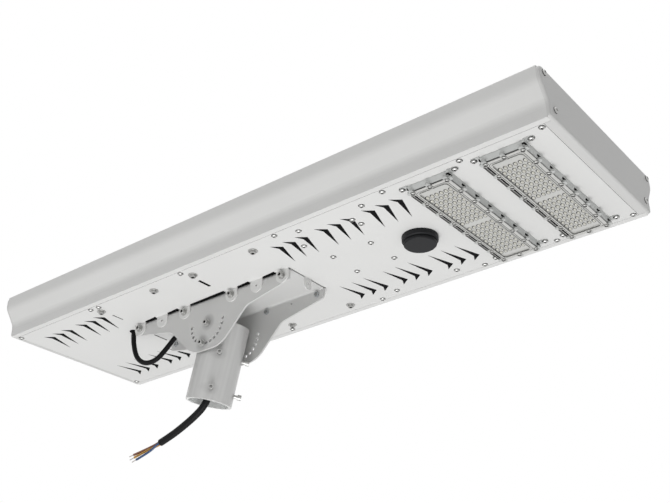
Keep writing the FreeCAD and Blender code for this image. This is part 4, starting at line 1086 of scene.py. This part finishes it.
class STREETLIGHT_OT_optics(bpy.types.Operator):
    """Make each lamp module's cover, with its domed optics, and its corner clips"""

    bl_idname = "streetlight.optics"
    bl_label = "Lamp optics"

    def execute(self, context):
        plate = optic_plastic("optic_plate", (0.52, 0.52, 0.50), cover_paint)
        domes = optic_plastic("optic_domes", (0.52, 0.51, 0.45), dome_paint)
        lip = moulded("lip_plastic", (0.085, 0.085, 0.082), 0.6, gloss=0.03)
        cast = bpy.data.materials["module_cast"]
        cover = self.cover()
        dome = self.dome()
        cup = self.cup()
        clip = self.clip()
        ear = self.ear()
        strip = self.strip()
        slit = self.slit()
        across, along = LAMP_PITCH
        lamps = [
            spot(across * (column - 2.5), side * (FIRST_LAMP + along * row), FIELD_LEVEL)
            for column in range(6) for row in range(9) for side in (-1, 1)
        ]
        for word, x in zip("ab", MODULES):
            shift = spot(x, 0, 0)
            panel = copies(cover, "cover", [shift])
            collars = copies(cup, "collars", [spot(x + a, b, LENS_LOW) for a, b in LENS_SCREWS])
            both = join([panel, collars], f"lens_cover_{word}")
            settle(both, plate, "lens_clear", HEAD, f"lens_{word}")
            field = copies(dome, f"lamp_domes_{word}", [shift @ lamp for lamp in lamps])
            settle(field, domes, "lens_clear", HEAD)
            corners = [spot(x - CLIP_AT[0], side * CLIP_AT[1], 0) for side in (-1, 1)]
            rubber(copies(clip, f"corner_clips_{word}", corners))
            ears = [
                spot(x + EAR_OUT * side, b, 0, "Z", 90 - 90 * side)
                for side in (-1, 1) for a, b in LENS_SCREWS if a * side > 0
            ]
            ears += [
                spot(x + a, side * EAR_END, 0, "Z", 90 * side)
                for a in (-EAR_X, 0.0, EAR_X) for side in (-1, 1)
            ]
            settle(copies(ear, f"cover_ears_{word}", ears), cast, "module_metal", HEAD)
            # On the module's -X side only: the gasket's line, dark as painted shade of the gap
            # under the flange
            strips, slits = (
                [spot(x - out, EAR_PITCH * (turn - 3), 0) for turn in range(7)]
                for out in (STRIP_OUT, SLIT_OUT)
            )
            settle(copies(strip, f"edge_shade_strips_{word}", strips), lip, "black_rubber", HEAD)
            rubber(copies(slit, f"edge_shade_slits_{word}", slits))
        for template in (cover, dome, cup, clip, ear, strip, slit):
            bpy.data.objects.remove(template)
        return {"FINISHED"}

    @staticmethod
    def cover():
        """The moulded cover: a flange with a fine groove, a raised rim and a sunk field."""
        flange = rounded_block("cover", FLANGE, LENS_LOW, LENS_TOP)
        groove = rounded_block("groove", GROOVE, LENS_LOW - 1, LENS_LOW + 0.6)
        carve(groove, rounded_block("core", GROOVE_CORE, LENS_LOW - 2, LENS_LOW + 2))
        carve(flange, groove)
        rim = rounded_block("rim", RIM, LENS_LOW - 1.6, LENS_LOW)
        carve(rim, rounded_block("hollow", FIELD, LENS_LOW - 3, LENS_LOW + 1))
        carve(flange, rounded_block("field", FIELD, LENS_LOW - 1, FIELD_LEVEL))
        soften(rim, 0.25)
        return finish_edit(join([flange, rim], "cover"), 25)

    @staticmethod
    def dome():
        """One lenslet: a pillow with rounded corners that narrows in three steps."""
        piece = plane("dome", *DOME)
        round_corners(2.2, 3)
        for rise, scale in ((-0.8, 0.97), (-0.5, 0.88), (-0.4, 0.6)):
            extrude(rise, scale)
        return finish_edit(piece, 60)

    @staticmethod
    def cup():
        """A collar round a lens screw."""
        return dish(cylinder("cup", 3.7, -1.3, 0, 16), 0.8, 1.1)

    @staticmethod
    def ear():
        """A boss of the housing that juts out below a cover screw, with a stepped foot."""
        piece = cylinder("ear", 3.4, LENS_LOW + 0.2, LENS_TOP + 0.6, 16)
        select_faces(piece, facing_up)
        extrude(0.8, 0.9)
        extrude(0.8, 0.6)
        return finish_edit(piece, 35)

    @staticmethod
    def strip():
        """A dark grey lip of the gasket that shows beside the cover between two ears, darkened as
        painted shade of the gap.
        """
        low, high = (-1.6, -11.5, LENS_LOW + 0.4), (1.4, 11.5, LENS_TOP + 1.6)
        return dish(box("strip", low, high), 0.5, 0.3)

    @staticmethod
    def slit():
        """A thin black line of the gasket that shows in the cover's flange, with a sunk middle,
        black as painted shade.
        """
        low, high = (-1.25, -10.5, LENS_LOW - 0.12), (1.25, 10.5, LENS_LOW + 0.3)
        return dish(box("slit", low, high), 0.3, -0.08)

    @staticmethod
    def clip():
        """A black clip at a module's corner, thinner in its middle."""
        piece = box("clip", (-0.9, -1.7, 36.2), (0.9, 1.7, BOTTOM - 0.2))
        select_faces(piece, lambda normal: abs(normal.x) > 0.9)
        inset(0.6, use_individual=True)
        bpy.ops.mesh.extrude_region_shrink_fatten(TRANSFORM_OT_shrink_fatten={"value": -0.3 * MM})
        soften(piece, 0.2, 1)
        return finish_edit(piece)


class STREETLIGHT_OT_shade_pieces(bpy.types.Operator):
    """Make the black pieces of painted shade in the plate's slots, beside its tabs and in its vents
    """

    bl_idname = "streetlight.seals"
    bl_label = "Seals"

    def execute(self, context):
        # Black boxes of painted shade in the slots
        low, high = SLOT_SHADE_LEVELS
        seals = [
            self.shade_box((x - half, side * SLOT_SHADE_Y - long, low), (x + half, side * SLOT_SHADE_Y + long, high))
            for x, half, long in SLOT_SHADE_BOXES for side in (-1, 1)
        ]
        rubber(join(seals, "slot_shades"))
        # Black strips of painted shade in the gaps beside the tabs and at the end
        gap_shades = [self.gap_shade(x, half, side) for side in (-1, 1) for x, half in TAB_GAP_SHADES]
        gap_shades.append(self.shade_box(*END_GAP_SHADE))
        rubber(join(gap_shades, "gap_shade_strips"))
        # Black sheets of painted shade in the vents
        shade_sheets = []
        for side in (-1, 1):
            shade_sheet = self.vent_shade_sheet(side)
            shade_sheets.append(copies(shade_sheet, "shade_sheets", [spot(x, 0, 0) for x in VENTS]))
            bpy.data.objects.remove(shade_sheet)
        rubber(join(shade_sheets, "vent_shade_sheets"))
        return {"FINISHED"}

    @staticmethod
    def vent_shade_sheet(side):
        """A black sheet of painted shade pressed into a vent's cut, with a narrow rim on the plate.
        """
        piece = plane("shade_sheet", 2, 2)
        bpy.ops.mesh.select_mode(type="VERT")
        for (across, along), (x, y) in VENT_CORNERS.items():
            deselect_mesh(piece.data)
            for vertex in piece.data.vertices:
                near = abs(vertex.co.x - across * MM) + abs(vertex.co.y - along * MM)
                vertex.select = near < 0.00002
            bpy.ops.object.mode_set(mode="EDIT")
            move = (x - across, (VENT_Y + y) * side - along, BOTTOM - 0.12)
            bpy.ops.transform.translate(value=[part * MM for part in move])
        bpy.ops.mesh.select_all(action="SELECT")
        extrude(0.3)
        extrude(1.2, 0.94)
        return finish_edit(piece)

    @staticmethod
    def shade_box(low, high):
        """A black box of painted shade for a slot or a gap, a little hollow below."""
        return dish(box("shade_box", low, high), 0.4, 0.3)

    @staticmethod
    def gap_shade(x, half, side):
        """A thin black strip of painted shade on the plate's edge beside a tab, wider at its +X
        end.
        """
        edge = GAP_SHADE_EDGE * side
        near, far = sorted((edge, edge + GAP_SHADE_WIDTH * side))
        piece = box("gap_shade", (x - half, near, BOTTOM - 0.5), (x + half, far, BOTTOM + 0.2))
        select_faces(piece, lambda normal: normal.x > 0.9)
        bpy.ops.transform.resize(
            value=(1, 2.2, 1), center_override=((x + half) * MM, edge * MM, BOTTOM * MM),
        )
        select_faces(piece, facing_down)
        inset(0.15)
        return finish_edit(piece)


class STREETLIGHT_OT_stage(bpy.types.Operator):
    """Set up the floor, the soft light and the camera"""

    bl_idname = "streetlight.stage"
    bl_label = "Stage"

    def execute(self, context):
        leave_edit()
        bpy.ops.mesh.primitive_plane_add(size=FLOOR_SIZE, location=(0, 0, FLOOR_LEVEL))
        floor = context.active_object
        floor.name = "floor"
        bpy.ops.object.transform_apply(location=True)
        clear_slots(floor, self.floor_finish())
        self.world(context)
        for light in LIGHTS:
            self.lamp(*light)
        view = bpy.data.cameras.new("camera")
        view.lens = CAMERA_LENS
        view.sensor_width = 36
        view.clip_start = 0.02
        camera = add_object("camera", view)
        forward = Vector(CAMERA_WAY).normalized()
        right = Vector(CAMERA_DOWN).cross(forward).normalized()
        up = right.cross(forward).normalized()
        turn = Matrix((right, up, -forward)).transposed()
        camera.matrix_world = Matrix.Translation(CAMERA_PLACE) @ turn.to_4x4()
        context.scene.camera = camera
        context.scene.view_settings.view_transform = "Standard"
        return {"FINISHED"}

    @staticmethod
    def floor_finish():
        """Pale matt floor that shows as white in gloss and through clear parts."""
        shader = Shader("floor_finish")
        tone = shader.mix(shader.noise(3.0), grey(0.80), grey(0.82))
        matt = shader.node("ShaderNodeBsdfDiffuse", {}, {"Color": tone})
        white = shader.node("ShaderNodeEmission", {}, {"Strength": 0.95})
        factor = shader.rays("Glossy", "Transmission").largest(shader.rays("Camera") * 0.5)
        both = shader.node("ShaderNodeMixShader", {}, {0: factor, 1: matt, 2: white})
        return shader.finish(both)

    @staticmethod
    def world(context):
        """A soft sky that is white where it is seen and dimmer where it only lights."""
        sky = bpy.data.worlds.new("soft_sky")
        context.scene.world = sky
        shader = NodeTree(sky)
        white = shader.rays("Camera", "Glossy", "Transmission")
        strength = shader.mix(white, grey(SKY), grey(1.0))
        light = shader.node("ShaderNodeBackground", {}, {"Color": strength, "Strength": 1.0})
        shader.add("ShaderNodeOutputWorld", {}, {"Surface": light})

    @staticmethod
    def lamp(name, place, target, power, width):
        data = bpy.data.lights.new(name, "AREA")
        data.energy = power
        data.size = width
        lamp = add_object(name, data)
        lamp.location = place
        way = Vector(target) - Vector(place)
        lamp.rotation_euler = way.to_track_quat("-Z", "Y").to_euler()


class STREETLIGHT_PT_panel(bpy.types.Panel):
    """Lists the street light's sizes and building steps"""

    bl_idname = "STREETLIGHT_PT_panel"
    bl_label = "Street light"
    bl_space_type = "VIEW_3D"
    bl_region_type = "UI"
    bl_category = "Street light"

    def draw(self, context):
        settings = context.scene.street_light
        for name in settings.__annotations__:
            self.layout.prop(settings, name)
        for operator in STEPS:
            self.layout.operator(operator.bl_idname)


STEPS = (
    STREETLIGHT_OT_finishes, STREETLIGHT_OT_cable, STREETLIGHT_OT_screws, STREETLIGHT_OT_bolts,
    STREETLIGHT_OT_optics, STREETLIGHT_OT_shade_pieces, STREETLIGHT_OT_stage,
)
CLASSES = (StreetLightSettings, *STEPS, STREETLIGHT_PT_panel)


def register():
    for item in CLASSES:
        bpy.utils.register_class(item)
    bpy.types.Scene.street_light = PointerProperty(type=StreetLightSettings)


def unregister():
    del bpy.types.Scene.street_light
    for item in reversed(CLASSES):
        bpy.utils.unregister_class(item)


def main():
    register()
    bpy.ops.streetlight.finishes()
    bpy.ops.streetlight.cable()
    bpy.ops.streetlight.screws()
    bpy.ops.streetlight.bolts()
    bpy.ops.streetlight.optics()
    bpy.ops.streetlight.seals()
    bpy.ops.streetlight.stage()


if __name__ == "__main__":
    main()
